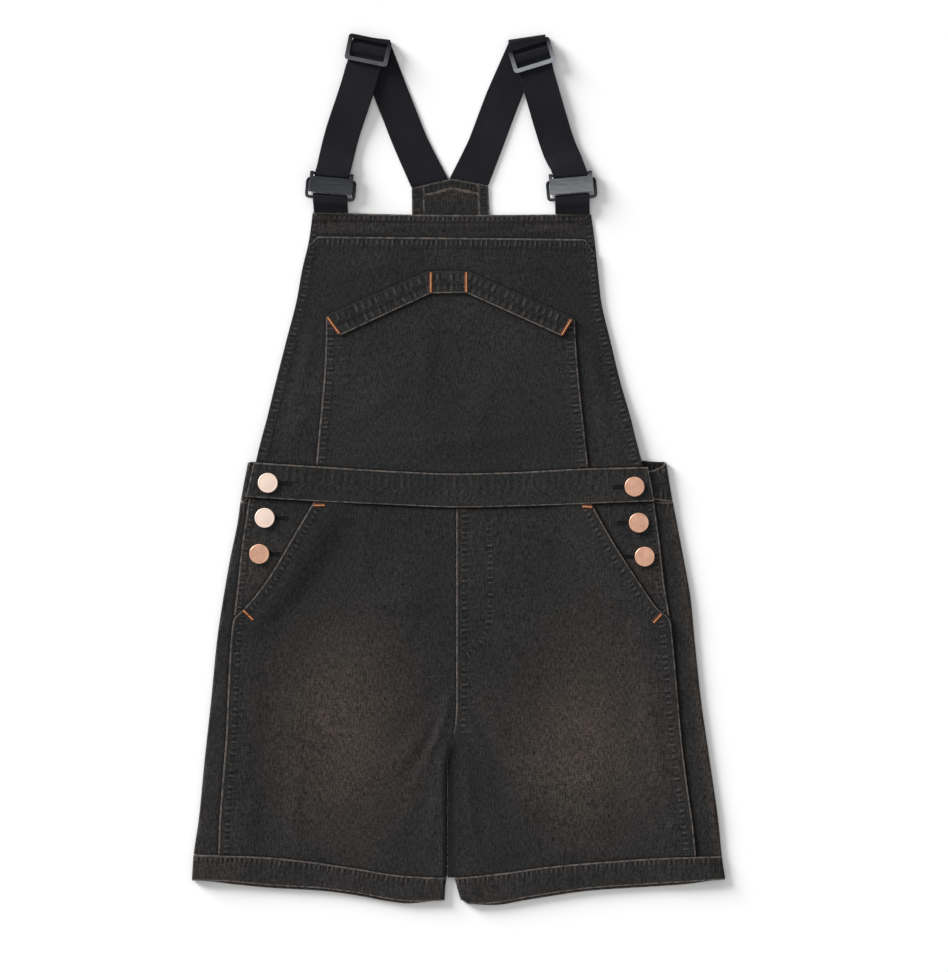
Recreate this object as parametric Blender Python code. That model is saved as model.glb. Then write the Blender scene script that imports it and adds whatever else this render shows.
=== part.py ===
# Bib overall shorts in washed denim, laid flat with the front up.
# X runs to the right, Y up the garment towards the straps, Z up from the surface it lies on.
# Lengths below are in millimetres. Cloth is a wall round a middle surface.

import math
from collections import namedtuple

import bmesh
import bpy
import numpy as np
from mathutils import Vector

MM = 0.001

# Cloth, webbing and the space between layers
CLOTH = 1.2
BAND_CLOTH = 2.2
HEM_CLOTH = 2.0
WEBBING = 1.6
WEBBING_WIDTH = 32.0
SEAM = 0.3

# Heights of the middle surfaces of the layers, from the floor up
BACK_LEVEL = CLOTH / 2
WRAP_LEVEL = 3.4
FACING_LEVEL = WRAP_LEVEL + CLOTH + SEAM
SLANT_LEVEL = FACING_LEVEL + CLOTH + SEAM
LEG_LEVEL = 3.2
LEG_TOP_LEVEL = 5.0
BACK_BAND_LEVEL = BAND_CLOTH / 2
BACK_BAND_WRAP_LEVEL = 3.8
BAND_LEVEL = 5.9
BAND_END_LEVEL = 6.4
HEM_LOW_LEVEL = HEM_CLOTH / 2
HEM_TOP_LEVEL = 3.9
BIB_FLOOR_LEVEL = 0.8
BIB_ON_BACK = CLOTH + SEAM
BIB_ON_BAND = 1.0

# How far hidden edges run under the piece that covers them
FACING_TUCK = 15.0
HIP_WRAP = 30.0
LEG_WRAP = 7.0

# Places up the garment
BAND_BOTTOM = -30.0
FACING_BOTTOM = -136.0
SIDE_SEAM_AT_HEM = 223.0
BACK_HEM_LONGER = 2.3
CROTCH = -265.5
YOKE_BOTTOM = 218.0
LEG_FOOT = -359.0

# Passes that bring a point's x and y to agree on a slanted edge
SETTLE_STEPS = 3

# Angle between the points round a leg's inner edge, in degrees
INNER_TURN_STEP = 22.0

# Buttons and metal
BUTTON_RADIUS = 9.2
BUTTON_HEIGHT = 2.2
SLIDER_WIDTH = 40.5
SLIDER_HEIGHT = 24.5
SLIDER_BAR = 3.8
SLIDER_RAIL = 3.4
HOOK_WIDTH = 40.5
HOOK_BAR_CENTRE = 10.2
HOOK_PROFILE = (
    (-7.2, 7.4), (7.3, 7.4), (7.3, 5.3), (-5.4, 5.3), (-5.4, 2.2), (5.6, 2.2), (5.6, 0.8), (-7.2, 0.8),
)
RING_WIDTH = 47.0
RING_HEIGHT = 19.8
RING_BAR = 3.0
RING_DROP = 3.5

LEFT = -1
RIGHT = 1

Edges = namedtuple("Edges", "up left right")
Point = namedtuple("Point", "x y")
Strap = namedtuple("Strap", "side slider slider_turn hook hook_turn stub_foot front back")

BIB_SIDES = (
    Edges(239.0, -135.5, 123.0),
    Edges(213.5, -139.0, 126.5),
    Edges(185.5, -145.5, 129.5),
    Edges(157.5, -150.5, 132.5),
    Edges(120.5, -160.0, 141.0),
    Edges(83.0, -169.5, 150.0),
    Edges(46.0, -178.5, 160.5),
    Edges(27.5, -183.5, 165.0),
    Edges(-8.0, -192.0, 174.5),
)
BACK_BIB_SIDES = (
    Edges(218.0, -43.0, 30.0),
    Edges(176.0, -54.5, 43.0),
    Edges(129.5, -75.0, 66.5),
    Edges(83.0, -105.5, 96.5),
    Edges(36.5, -143.0, 133.5),
    Edges(11.5, -166.0, 159.5),
)
OUTER_FOLDS = (
    Edges(11.5, -195.0, 192.5),
    Edges(-28.5, -202.5, 199.0),
    Edges(-47.0, -205.0, 202.5),
    Edges(-84.0, -212.5, 209.5),
    Edges(-121.5, -219.0, 216.0),
    Edges(-158.5, -224.5, 219.5),
    Edges(-214.5, -230.0, 225.5),
    Edges(-270.0, -236.0, 233.5),
    Edges(-326.0, -241.5, 241.5),
    Edges(-361.5, -246.5, 245.0),
    Edges(-382.0, -247.8, 247.8),
)
# The placket's edge at the hip, then the side seam down the leg
SIDE_LINES = (
    Edges(-27.5, -194.0, 181.0),
    Edges(-65.5, -200.5, 186.5),
    Edges(-105.5, -205.0, 191.0),
    Edges(-140.0, -209.0, 196.5),
    Edges(-158.5, -211.5, 199.0),
    Edges(-203.0, -214.0, 203.0),
    Edges(-248.0, -216.0, 207.0),
    Edges(-292.5, -219.5, 212.5),
    Edges(-336.0, -222.5, 218.5),
    Edges(-382.0, -223.5, 222.5),
)
# The slanted pocket mouth, which then meets the side seam
POCKET_MOUTHS = (
    Edges(-28.0, -133.0, 122.5),
    Edges(-70.0, -157.5, 145.5),
    Edges(-107.5, -181.0, 169.5),
    Edges(-129.5, -199.0, 185.0),
    Edges(-140.0, -209.0, 196.5),
    Edges(-158.5, -211.5, 199.0),
)
# The centre front seam, then each leg's inner edge
INNER_EDGES = (
    Edges(-20.0, -2.5, -2.1),
    Edges(-214.5, -2.5, -2.1),
    Edges(-228.5, -3.5, -3.1),
    Edges(-247.0, -7.0, -6.5),
    Edges(-265.5, -10.2, -9.6),
    Edges(-307.5, -10.6, -9.9),
    Edges(-370.5, -11.0, -9.2),
    Edges(-380.0, -11.5, -3.5),
    Edges(-391.0, -12.5, -1.0),
    Edges(-403.0, -13.0, 2.5),
)
BAND_TOP = (
    Point(-190.0, 6.5), Point(-133.5, 3.0), Point(-60.0, -1.5), Point(-3.5, -3.8),
    Point(55.0, -2.4), Point(116.0, 0.8), Point(176.0, 2.2),
)
BAND_FOOT = (
    Point(-197.5, -25.5), Point(-133.5, -29.5), Point(-60.0, -33.0), Point(-2.5, -35.3),
    Point(78.5, -33.5), Point(141.0, -31.0), Point(182.0, -29.5),
)
HEM_TOP = (
    Point(-247.0, -358.0), Point(-189.5, -359.8), Point(-143.0, -364.0), Point(-95.0, -371.0),
    Point(-50.0, -377.8), Point(-8.0, -379.5), Point(35.0, -376.0), Point(82.5, -369.5),
    Point(125.0, -365.5), Point(205.0, -360.5), Point(247.0, -359.5),
)
HEM_FOOT = (
    Point(-248.0, -382.0), Point(-222.5, -382.5), Point(-176.0, -386.5), Point(-126.0, -389.5),
    Point(-92.5, -394.0), Point(-63.0, -399.5), Point(-43.0, -401.5), Point(-15.0, -400.5),
    Point(0.5, -399.0), Point(10.0, -403.9), Point(27.5, -403.5), Point(68.5, -397.0),
    Point(125.0, -389.0), Point(178.0, -385.5), Point(248.0, -381.0),
)
BIB_TOP = (Point(-136.0, 239.0), Point(-0.5, 236.5), Point(124.0, 237.5))
OVERLAY_TOP = (Point(-138.0, 209.5), Point(-130.5, 216.5), Point(117.5, 214.0), Point(127.0, 201.0))
POCKET_TOP = (Point(-123.0, 143.0), Point(-28.5, 184.0), Point(9.0, 184.0), Point(108.0, 140.0))
POCKET_BAND_FOOT = (Point(-109.5, 124.5), Point(-26.0, 163.5), Point(7.0, 164.0), Point(95.5, 124.0))
POCKET_SIDES = (
    Edges(143.0, -123.0, 108.0),
    Edges(122.0, -123.2, 108.8),
    Edges(0.0, -132.5, 120.5),
)
YOKE_ROOF = (
    Point(-43.5, 261.5), Point(-25.0, 265.9), Point(-6.5, 270.3), Point(10.5, 267.2), Point(27.5, 264.0),
)
BUTTONS = (
    Point(-177.0, -12.5), Point(-180.0, -45.0), Point(-185.0, -78.5),
    Point(163.5, -16.0), Point(167.5, -49.5), Point(173.0, -81.0),
)
STRAPS = (
    Strap("left", Point(-84.0, 389.5), -11.5, Point(-118.5, 264.0), -5.0, Point(-118.5, 239.4),
          (Point(-84.0, 389.5), Point(-94.5, 353.0), Point(-109.0, 308.5), Point(-117.5, 272.5)),
          (Point(-81.0, 393.0), Point(-58.0, 338.0), Point(-46.5, 308.5), Point(-28.0, 266.0))),
    Strap("right", Point(68.0, 385.0), 17.0, Point(104.8, 264.0), 5.0, Point(106.0, 238.0),
          (Point(68.0, 385.0), Point(79.5, 344.0), Point(93.0, 300.0), Point(102.8, 277.0),
           Point(104.0, 272.0)),
          (Point(59.0, 390.0), Point(38.5, 338.0), Point(27.5, 308.5), Point(11.5, 266.5))),
)

DENIM = (0.031, 0.031, 0.032)
DENIM_EDGE = (0.060, 0.052, 0.046)
WEB = (0.010, 0.010, 0.016)
GUNMETAL = (0.075, 0.078, 0.085)
COPPER = (0.72, 0.42, 0.32)


def clear_scene():
    for item in list(bpy.data.objects):
        bpy.data.objects.remove(item, do_unlink=True)


def smooth_step(low, high, value):
    t = min(max((value - low) / (high - low), 0.0), 1.0)
    return t * t * (3.0 - 2.0 * t)


def mix(a, b, t):
    return a + (b - a) * t


def smooth_curve(places, values):
    """A smooth function through the values at rising or falling places, without overshoot."""
    if places[0] > places[-1]:
        places = places[::-1]
        values = values[::-1]
    steps = np.diff(values) / np.diff(places)
    slopes = [steps[0]]
    for before, after in zip(steps[:-1], steps[1:]):
        level = before * after <= 0.0
        slopes.append(0.0 if level else 2.0 * before * after / (before + after))
    slopes.append(steps[-1])

    def value_at(place):
        place = min(max(place, places[0]), places[-1])
        i = 0
        while i < len(places) - 2 and place > places[i + 1]:
            i += 1
        width = places[i + 1] - places[i]
        t = (place - places[i]) / width
        rise = values[i + 1] - values[i]
        start = slopes[i] * width
        end = slopes[i + 1] * width
        return float(values[i] + start * t + (3 * rise - 2 * start - end) * t ** 2
                     + (start + end - 2 * rise) * t ** 3)

    return value_at


def edge_curves(rows):
    """Two smooth functions of the height up the garment, for the left and right edge."""
    ups = [row.up for row in rows]
    return (smooth_curve(ups, [row.left for row in rows]),
            smooth_curve(ups, [row.right for row in rows]))


def line_curve(points):
    """A smooth function of x through the points of a line across the garment."""
    return smooth_curve([p.x for p in points], [p.y for p in points])


def straight_line(points, x):
    return float(np.interp(x, [p.x for p in points], [p.y for p in points]))


bib_left, bib_right = edge_curves(BIB_SIDES)
back_bib_left, back_bib_right = edge_curves(BACK_BIB_SIDES)
fold_left, fold_right = edge_curves(OUTER_FOLDS)
side_left, side_right = edge_curves(SIDE_LINES)
mouth_left, mouth_right = edge_curves(POCKET_MOUTHS)
inner_left, inner_right = edge_curves(INNER_EDGES)
pocket_left, pocket_right = edge_curves(POCKET_SIDES)
band_top = line_curve(BAND_TOP)
band_foot = line_curve(BAND_FOOT)
hem_top = line_curve(HEM_TOP)
hem_foot = line_curve(HEM_FOOT)
bib_top = line_curve(BIB_TOP)


def outer_fold(side, y):
    return fold_left(y) if side == LEFT else fold_right(y)


def side_line(side, y):
    return side_left(y) if side == LEFT else side_right(y)


def inner_edge(side, y):
    return inner_left(y) if side == LEFT else inner_right(y)


def front_edge(side, y):
    """The front panel's outer edge: pocket mouth at the hip, side seam down the leg."""
    if y < POCKET_MOUTHS[-1].up:
        return side_line(side, y)
    return mouth_left(y) if side == LEFT else mouth_right(y)


def colour_material(name, colour, roughness, metallic=0.0):
    material = bpy.data.materials.new(name)
    material.use_nodes = True
    shader = material.node_tree.nodes["Principled BSDF"]
    shader.inputs["Base Color"].default_value = (*colour, 1.0)
    shader.inputs["Roughness"].default_value = roughness
    shader.inputs["Metallic"].default_value = metallic
    return material


def add_object(name, bm, material):
    mesh = bpy.data.meshes.new(name)
    bmesh.ops.recalc_face_normals(bm, faces=bm.faces)
    bm.to_mesh(mesh)
    bm.free()
    mesh.materials.append(material)
    mesh.shade_smooth()
    mesh.set_sharp_from_angle(angle=math.radians(40))
    item = bpy.data.objects.new(name, mesh)
    bpy.context.collection.objects.link(item)
    return item


def wall(name, rows, thickness, colour, closed=False, roughness=0.9):
    """A wall of one thickness round a middle surface, given as rows of (x, y, z) points.

    A closed wall's rows end where they start, as round a hem.
    """
    columns = len(rows[0])
    bm = bmesh.new()
    bmesh.ops.create_grid(bm, x_segments=columns - 1, y_segments=len(rows) - 1, size=0.5)
    for vert in bm.verts:
        column = round((vert.co.x + 0.5) * (columns - 1))
        row = round((vert.co.y + 0.5) * (len(rows) - 1))
        vert.co = Vector(rows[row][column]) * MM
    if closed:
        bmesh.ops.remove_doubles(bm, verts=bm.verts, dist=0.00001)
    item = add_object(name, bm, colour_material(name, colour, roughness))
    solid = item.modifiers.new("Wall", "SOLIDIFY")
    solid.thickness = thickness * MM
    solid.offset = 0.0
    solid.use_even_offset = True
    solid.use_quality_normals = True
    return item


def spread(start, end, count):
    return [mix(start, end, k / (count - 1)) for k in range(count)]


# Layers of the front, as heights of their middle surfaces

def front_level(side, x, y):
    """Height of the front panel: it rides over the side layers and sags between them."""
    inward = abs(x - front_edge(side, y))
    at_edge = mix(FACING_LEVEL, SLANT_LEVEL, smooth_step(-168.0, -140.0, y))
    wave = 0.35 * math.sin(x * 0.043 + y * 0.012 + side) + 0.25 * math.sin(y * 0.031 - x * 0.017)
    sag = LEG_LEVEL + wave * smooth_step(10.0, 60.0, inward)
    sag = mix(sag, LEG_TOP_LEVEL, smooth_step(-80.0, BAND_BOTTOM, y))
    return mix(at_edge, sag, smooth_step(17.0, 48.0, inward))


def band_level(x):
    return mix(BAND_LEVEL, BAND_END_LEVEL, smooth_step(110.0, 150.0, abs(x)))


def bib_level(x, y, layer=0):
    """Height of the bib's layers: up on the back panel and its waistband, down at the sides."""
    reach = max(back_bib_left(y) - x, x - back_bib_right(y))
    on_back = 1.0 - smooth_step(2.0, 75.0, reach)
    on_band = smooth_step(95.0, 18.0, y)
    level = BIB_FLOOR_LEVEL + BIB_ON_BACK * max(on_back, on_band) + BIB_ON_BAND * on_band
    return level + layer * (CLOTH + SEAM)


# Back

def inner_turn(side, y, front):
    """Three points round a leg's inner edge, flat above the crotch."""
    x_edge = inner_edge(side, y)
    turned = smooth_step(CROTCH + 14.0, CROTCH - 16.0, y)
    low = BACK_LEVEL
    high = front_level(side, x_edge, y) if front else LEG_LEVEL
    radius = (LEG_LEVEL - BACK_LEVEL) / 2
    points = []
    for k in range(4):
        angle = math.radians(INNER_TURN_STEP * k)
        flat_x = x_edge + side * (3 - k) * 1.2
        round_x = x_edge + side * (CLOTH / 2 + radius * (1.0 - math.sin(angle)))
        drop = radius * (1.0 - math.cos(angle)) * turned
        z = high - drop - (high - LEG_LEVEL) * turned if front else low + drop
        points.append((mix(flat_x, round_x, turned), y, z))
    return points


def back_leg(side):
    """The back panel: flat on the floor, round the outer fold and back to the side seam."""
    name = "back_leg_left" if side == LEFT else "back_leg_right"
    radius = (WRAP_LEVEL - BACK_LEVEL) / 2
    rows = []
    for v in spread(0.0, 1.0, 19):
        y = mix(BAND_BOTTOM - 0.2, LEG_FOOT, v)
        tuck = mix(LEG_WRAP, HIP_WRAP, smooth_step(-158.0, -138.0, y))
        wrap_end = side_line(side, y) - side * tuck
        turn = outer_fold(side, y) - side * (CLOTH / 2 + radius)
        row = [(x, y, WRAP_LEVEL) for x in spread(wrap_end, turn, 4)]
        for k in range(1, 6):
            angle = math.radians(180.0 * k / 6)
            row.append((turn + side * radius * math.sin(angle), y,
                        BACK_LEVEL + radius * (1.0 + math.cos(angle))))
        inner = inner_turn(side, y, False)
        row += [(x, y, BACK_LEVEL) for x in spread(turn, inner[0][0], 7)[:-1]]
        row += inner
        rows.append([(x, end_on_hem(x, y, v), z) for x, y, z in row])
    return wall(name, rows, CLOTH, DENIM)


def end_on_hem(x, y, v):
    """The lowest rows lean with the hem, which the panel's end meets all along."""
    lean = hem_top(x) + SEAM / 2 - LEG_FOOT
    return y + lean * smooth_step(0.35, 1.0, v) + SEAM * smooth_step(0.9, 1.0, v)


def back_waistband():
    """A band across the back that turns round both sides to the button ends."""
    radius = (BACK_BAND_WRAP_LEVEL - BACK_BAND_LEVEL) / 2
    rows = []
    for v in (0.0, 0.35, 0.7, 1.0):
        row = []
        for side in (LEFT, RIGHT):
            end_y = mix(7.0, BAND_BOTTOM + 1.5, v)
            turn = outer_fold(side, end_y) - side * (BAND_CLOTH / 2 + radius)
            band_end = side_line(side, end_y)
            wrap_end = band_end - side * HIP_WRAP
            on_top = [
                (wrap_end, mix(band_top(wrap_end) - 4.0, band_foot(wrap_end) + 1.5, v)),
                (band_end, mix(band_top(band_end) - 3.0, band_foot(band_end) + 1.5, v)),
                (mix(band_end, turn, 0.5), mix(1.5, BAND_BOTTOM + 1.0, v)),
                (turn, mix(4.0, BAND_BOTTOM + 0.5, v)),
            ]
            half = [(x, y, BACK_BAND_WRAP_LEVEL) for x, y in on_top]
            for k in range(1, 7):
                angle = math.radians(180.0 * k / 7)
                half.append((turn + side * radius * math.sin(angle),
                             mix(5.0 + k * 0.3, BAND_BOTTOM + 0.5, v),
                             BACK_BAND_LEVEL + radius * (1.0 + math.cos(angle))))
            for x in spread(turn, 0.0, 6):
                rise = 7.0 + 4.0 * smooth_step(0.0, 60.0, abs(turn - x))
                half.append((x, mix(rise, BAND_BOTTOM + 0.5, v), BACK_BAND_LEVEL))
            row += half if side == LEFT else half[-2::-1]
        rows.append(row)
    return wall("back_waistband", rows, BAND_CLOTH, DENIM)


def back_bib():
    rows = []
    for v in spread(0.0, 1.0, 12):
        y = mix(YOKE_BOTTOM - SEAM, 11.3, v)
        rows.append([(x, y, BACK_LEVEL) for x in spread(back_bib_left(y), back_bib_right(y), 5)])
    return wall("back_bib", rows, CLOTH, DENIM)


def back_yoke():
    """The tab that joins both straps, with a gable roof."""
    rows = []
    for v in (0.0, 0.3, 1.0):
        row = []
        for roof in YOKE_ROOF:
            share = (roof.x - YOKE_ROOF[0].x) / (YOKE_ROOF[-1].x - YOKE_ROOF[0].x)
            foot_x = mix(back_bib_left(YOKE_BOTTOM), back_bib_right(YOKE_BOTTOM), share)
            row.append((mix(roof.x, foot_x, v), mix(roof.y, YOKE_BOTTOM, v), BACK_LEVEL))
        rows.append(row)
    return wall("back_yoke", rows, CLOTH, DENIM)


# Front

def front_leg(side):
    """The front panel from the waistband to the hem, cut away at the slanted pocket mouth."""
    name = "front_leg_left" if side == LEFT else "front_leg_right"
    rows = []
    for v in spread(0.0, 1.0, 22):
        y = mix(BAND_BOTTOM, LEG_FOOT, v)
        outer = front_edge(side, y)
        inner = inner_turn(side, y, True)
        near = [outer, outer - side * 5.0, outer - side * 17.0, outer - side * 32.0]
        middle = spread(outer - side * 48.0, inner[0][0], 6)[:-1]
        row = [(x, y, front_level(side, x, y)) for x in near + middle]
        row += inner
        rows.append([(x, end_on_hem(x, y, v) + start_on_band(x, v), z) for x, y, z in row])
    return wall(name, rows, CLOTH, DENIM)


def start_on_band(x, v):
    """The top rows follow the waistband's curved foot."""
    lean = band_foot(x) - SEAM - BAND_BOTTOM
    return lean * (1.0 - smooth_step(0.0, 0.22, v))


def hip_facing(side):
    """The pocket facing with the button placket, from the waistband to the pocket's foot."""
    name = "hip_facing_left" if side == LEFT else "hip_facing_right"
    rows = []
    for v in spread(0.0, 1.0, 9):
        y = mix(BAND_BOTTOM, FACING_BOTTOM, v)
        outer = side_line(side, y)
        inner = front_edge(side, y) - side * FACING_TUCK
        rows.append([(x, y + start_on_band(x, v), FACING_LEVEL) for x in spread(outer, inner, 6)])
    return wall(name, rows, CLOTH, DENIM)


def front_waistband():
    rows = []
    for v in (0.0, 0.35, 0.7, 1.0):
        row = []
        for u in spread(0.0, 1.0, 26):
            left_end = mix(BAND_TOP[0].x, BAND_FOOT[0].x, v)
            right_end = mix(BAND_TOP[-1].x, BAND_FOOT[-1].x, v)
            x = mix(left_end, right_end, u)
            row.append((x, mix(band_top(x), band_foot(x), v), band_level(x)))
        rows.append(row)
    return wall("front_waistband", rows, BAND_CLOTH, DENIM)


def bib_foot(x, tuck):
    """The foot of a bib layer: against the waistband at the sides, tucked under it between."""
    return band_top(x) + SEAM - tuck * (1.0 - smooth_step(125.0, 155.0, abs(x)))


def bib_layer(name, layer, shares, top_line, inset, tuck):
    """One layer of the bib between its side edges, down to the waistband or under it."""
    rows = []
    for v in spread(0.0, 1.0, 15):
        row = []
        for u in shares:
            y = mix(225.0, 0.0, v)
            for _ in range(SETTLE_STEPS):
                x = mix(bib_left(y) + inset, bib_right(y) - inset, u)
                y = mix(top_line(x), bib_foot(x, tuck), v)
            row.append((x, y, bib_level(x, y, layer)))
        rows.append(row)
    return wall(name, rows, CLOTH, DENIM)


def bib_front():
    return bib_layer("bib_front", 0, spread(0.0, 1.0, 13), bib_top, 0.0, 7.0)


def bib_overlay():
    shares = [0.0, 0.03] + spread(0.13, 0.86, 9) + [0.955, 1.0]
    return bib_layer("bib_overlay", 1, shares, lambda x: straight_line(OVERLAY_TOP, x), 0.6, 0.0)


def bib_pocket():
    rows = []
    for v in spread(0.0, 1.0, 8):
        row = []
        for u in (0.0, 0.14, 0.28, 0.409, 0.49, 0.571, 0.72, 0.86, 1.0):
            y = mix(150.0, 0.0, v)
            for _ in range(SETTLE_STEPS):
                x = mix(pocket_left(y), pocket_right(y), u)
                y = mix(straight_line(POCKET_TOP, x) - 1.0, band_top(x) + SEAM, v)
            row.append((x, y, bib_level(x, y, 2)))
        rows.append(row)
    return wall("bib_pocket", rows, CLOTH, DENIM)


def bib_pocket_band():
    """The chevron band along the pocket's mouth, mitred where its three runs meet."""
    rows = []
    for v in (0.0, 0.5, 1.0):
        row = []
        for run in range(3):
            for t in spread(0.0, 1.0, 5)[:4 if run < 2 else 5]:
                top = POCKET_TOP[run], POCKET_TOP[run + 1]
                foot = POCKET_BAND_FOOT[run], POCKET_BAND_FOOT[run + 1]
                x = mix(mix(top[0].x, top[1].x, t), mix(foot[0].x, foot[1].x, t), v)
                y = mix(mix(top[0].y, top[1].y, t), mix(foot[0].y, foot[1].y, t), v)
                row.append((x, y, bib_level(x, y, 3)))
        rows.append(row)
    return wall("bib_pocket_band", rows, CLOTH, DENIM)


def hem(side):
    """The turned hem as a ring round the leg, its two sides laid together."""
    name = "hem_left" if side == LEFT else "hem_right"
    radius = (HEM_TOP_LEVEL - HEM_LOW_LEVEL) / 2
    rows = []
    for v in (0.0, 0.5, 1.0):
        row = []
        y_guess = mix(-360.0, -384.0, v)
        outer = outer_fold(side, y_guess) - side * (HEM_CLOTH / 2 + radius)
        y_guess = mix(-379.0, -401.0, v)
        inner = inner_edge(side, y_guess) + side * (HEM_CLOTH / 2 + radius)
        flat_xs = spread(inner, outer, 11)
        stations = [(x, 0.0, HEM_LOW_LEVEL) for x in flat_xs]
        for k in range(1, 6):
            angle = math.radians(180.0 * k / 6)
            stations.append((outer + side * radius * math.sin(angle), k / 6,
                             HEM_LOW_LEVEL + radius * (1.0 - math.cos(angle))))
        for x in flat_xs[::-1]:
            on_seam = 1.0 - smooth_step(14.0, 46.0, abs(x - side * SIDE_SEAM_AT_HEM))
            stations.append((x, 1.0, HEM_TOP_LEVEL + on_seam * smooth_step(0.0, 10.0, abs(x - outer))))
        for k in range(1, 6):
            angle = math.radians(180.0 * k / 6)
            stations.append((inner - side * radius * math.sin(angle), 1.0 - k / 6,
                             HEM_LOW_LEVEL + radius * (1.0 + math.cos(angle))))
        stations.append(stations[0])
        for x, front, z in stations:
            room = min(abs(x - inner), abs(outer - x))
            longer = BACK_HEM_LONGER * (1.0 - front) * smooth_step(0.0, 40.0, room)
            row.append((x, mix(hem_top(x), hem_foot(x) - longer, v), z))
        rows.append(row)
    return wall(name, rows, HEM_CLOTH, DENIM_EDGE, closed=True)


# Straps and metal

def ribbon(name, stations):
    """A strap of webbing through stations of (left point, right point, height)."""
    rows = [[(left[0], left[1], z), (right[0], right[1], z)] for left, right, z in stations]
    return wall(name, rows, WEBBING, WEB, roughness=0.7)


def up_of(turn):
    """The direction up a piece that is turned by an angle in degrees."""
    return Vector((-math.sin(math.radians(turn)), math.cos(math.radians(turn))))


def across(centre, angle, z):
    """A station across the strap, turned by an angle in degrees from the X axis."""
    turn = math.radians(angle)
    reach = Vector((math.cos(turn), math.sin(turn))) * WEBBING_WIDTH / 2
    middle = Vector((centre[0], centre[1]))
    return middle - reach, middle + reach, z


def strap_run(points, count):
    """Centres and cross directions along a smooth line from the first point to the last."""
    ups = [p.y for p in points]
    x_at = smooth_curve(ups, [p.x for p in points])
    run = []
    for y in spread(points[0].y, points[-1].y, count):
        inner_y = min(max(y, ups[-1] + 2.0), ups[0] - 2.0)
        slope = (x_at(inner_y + 1.0) - x_at(inner_y - 1.0)) / 2.0
        run.append((Vector((x_at(y), y)), -math.degrees(math.atan(slope))))
    return run


# Heights of the strap's middle surface
WEB_FLOOR = 0.8
WEB_RETURN = 2.7
WEB_RUNNING = 4.6
WEB_OVER_BAR = 6.3
WEB_LOW_AT_HOOK = 1.5
WEB_TOP_AT_HOOK = 5.7

# The strap's fold above the slider
FOLD_ABOVE_SLIDER = 9.0
FOLD_LEAN = 0.35


def front_strap(strap):
    """From the fold through the slider down to the hook, round its bar and back up."""
    run = strap_run(strap.front, 15)
    slider = Vector(strap.slider)
    up = up_of(strap.slider_turn)
    stations = []
    fold_middle = slider + up * FOLD_ABOVE_SLIDER
    fold_angle = strap.slider_turn * FOLD_LEAN
    fold_radius = (WEB_RUNNING - WEB_FLOOR) / 2
    for k in range(6):
        angle = math.radians(180.0 * k / 5)
        stations.append(across(fold_middle + Vector((0.0, fold_radius * math.sin(angle))), fold_angle,
                               WEB_FLOOR + fold_radius * (1.0 - math.cos(angle))))
    for offset, z in ((5.8, WEB_RUNNING), (2.6, WEB_OVER_BAR), (-2.6, WEB_OVER_BAR),
                      (-6.0, WEB_RUNNING), (-13.5, WEB_RUNNING)):
        stations.append(across(slider + up * offset, strap.slider_turn, z))
    for centre, angle in run[2:-1]:
        share = smooth_step(strap.slider.y - 48.0, strap.slider.y - 80.0, centre.y)
        rise = smooth_step(strap.hook.y + 34.0, strap.hook.y + 12.0, centre.y)
        stations.append(across(centre, mix(angle, strap.hook_turn, rise),
                               mix(mix(WEB_RUNNING, 3.0, share), WEB_TOP_AT_HOOK, rise)))
    hook_up = up_of(strap.hook_turn)
    bar = Vector(strap.hook) + hook_up * (HOOK_BAR_CENTRE - 0.6)
    radius = (WEB_TOP_AT_HOOK - WEB_LOW_AT_HOOK) / 2
    for k in range(6):
        angle = math.radians(180.0 * k / 5)
        stations.append(across(bar - hook_up * radius * math.sin(angle), strap.hook_turn,
                               WEB_LOW_AT_HOOK + radius * (1.0 + math.cos(angle))))
    for centre, angle in reversed(run[2:-1]):
        share = smooth_step(strap.slider.y - 48.0, strap.slider.y - 80.0, centre.y)
        rise = smooth_step(strap.hook.y + 34.0, strap.hook.y + 12.0, centre.y)
        stations.append(across(centre, mix(angle, strap.hook_turn, rise),
                               mix(mix(WEB_RETURN, 1.1, share), WEB_LOW_AT_HOOK, rise)))
    stations.append(across(slider - up * 6.0, strap.slider_turn, WEB_RETURN))
    return ribbon("strap_front_" + strap.side, stations)


def back_strap(strap):
    """From the fold under the slider down to the yoke, flat on the floor."""
    stations = []
    start = Vector(strap.slider) + up_of(strap.slider_turn) * FOLD_ABOVE_SLIDER - Vector((0.0, SEAM))
    stations.append(across(start, strap.slider_turn * FOLD_LEAN, WEB_FLOOR))
    run = strap_run(strap.back, 9)
    for centre, angle in run[1:-1]:
        stations.append(across(centre, angle, WEB_FLOOR))
    end, angle = run[-1]
    ends = []
    along = Vector((math.tan(math.radians(-angle)), 1.0))
    for point in across(end, angle, 0.0)[:2]:
        for _ in range(SETTLE_STEPS + 1):
            point = point + along * (straight_line(YOKE_ROOF, point.x) + SEAM - point.y)
        ends.append(point)
    stations.append((ends[0], ends[1], WEB_FLOOR))
    return ribbon("strap_back_" + strap.side, stations)


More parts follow.
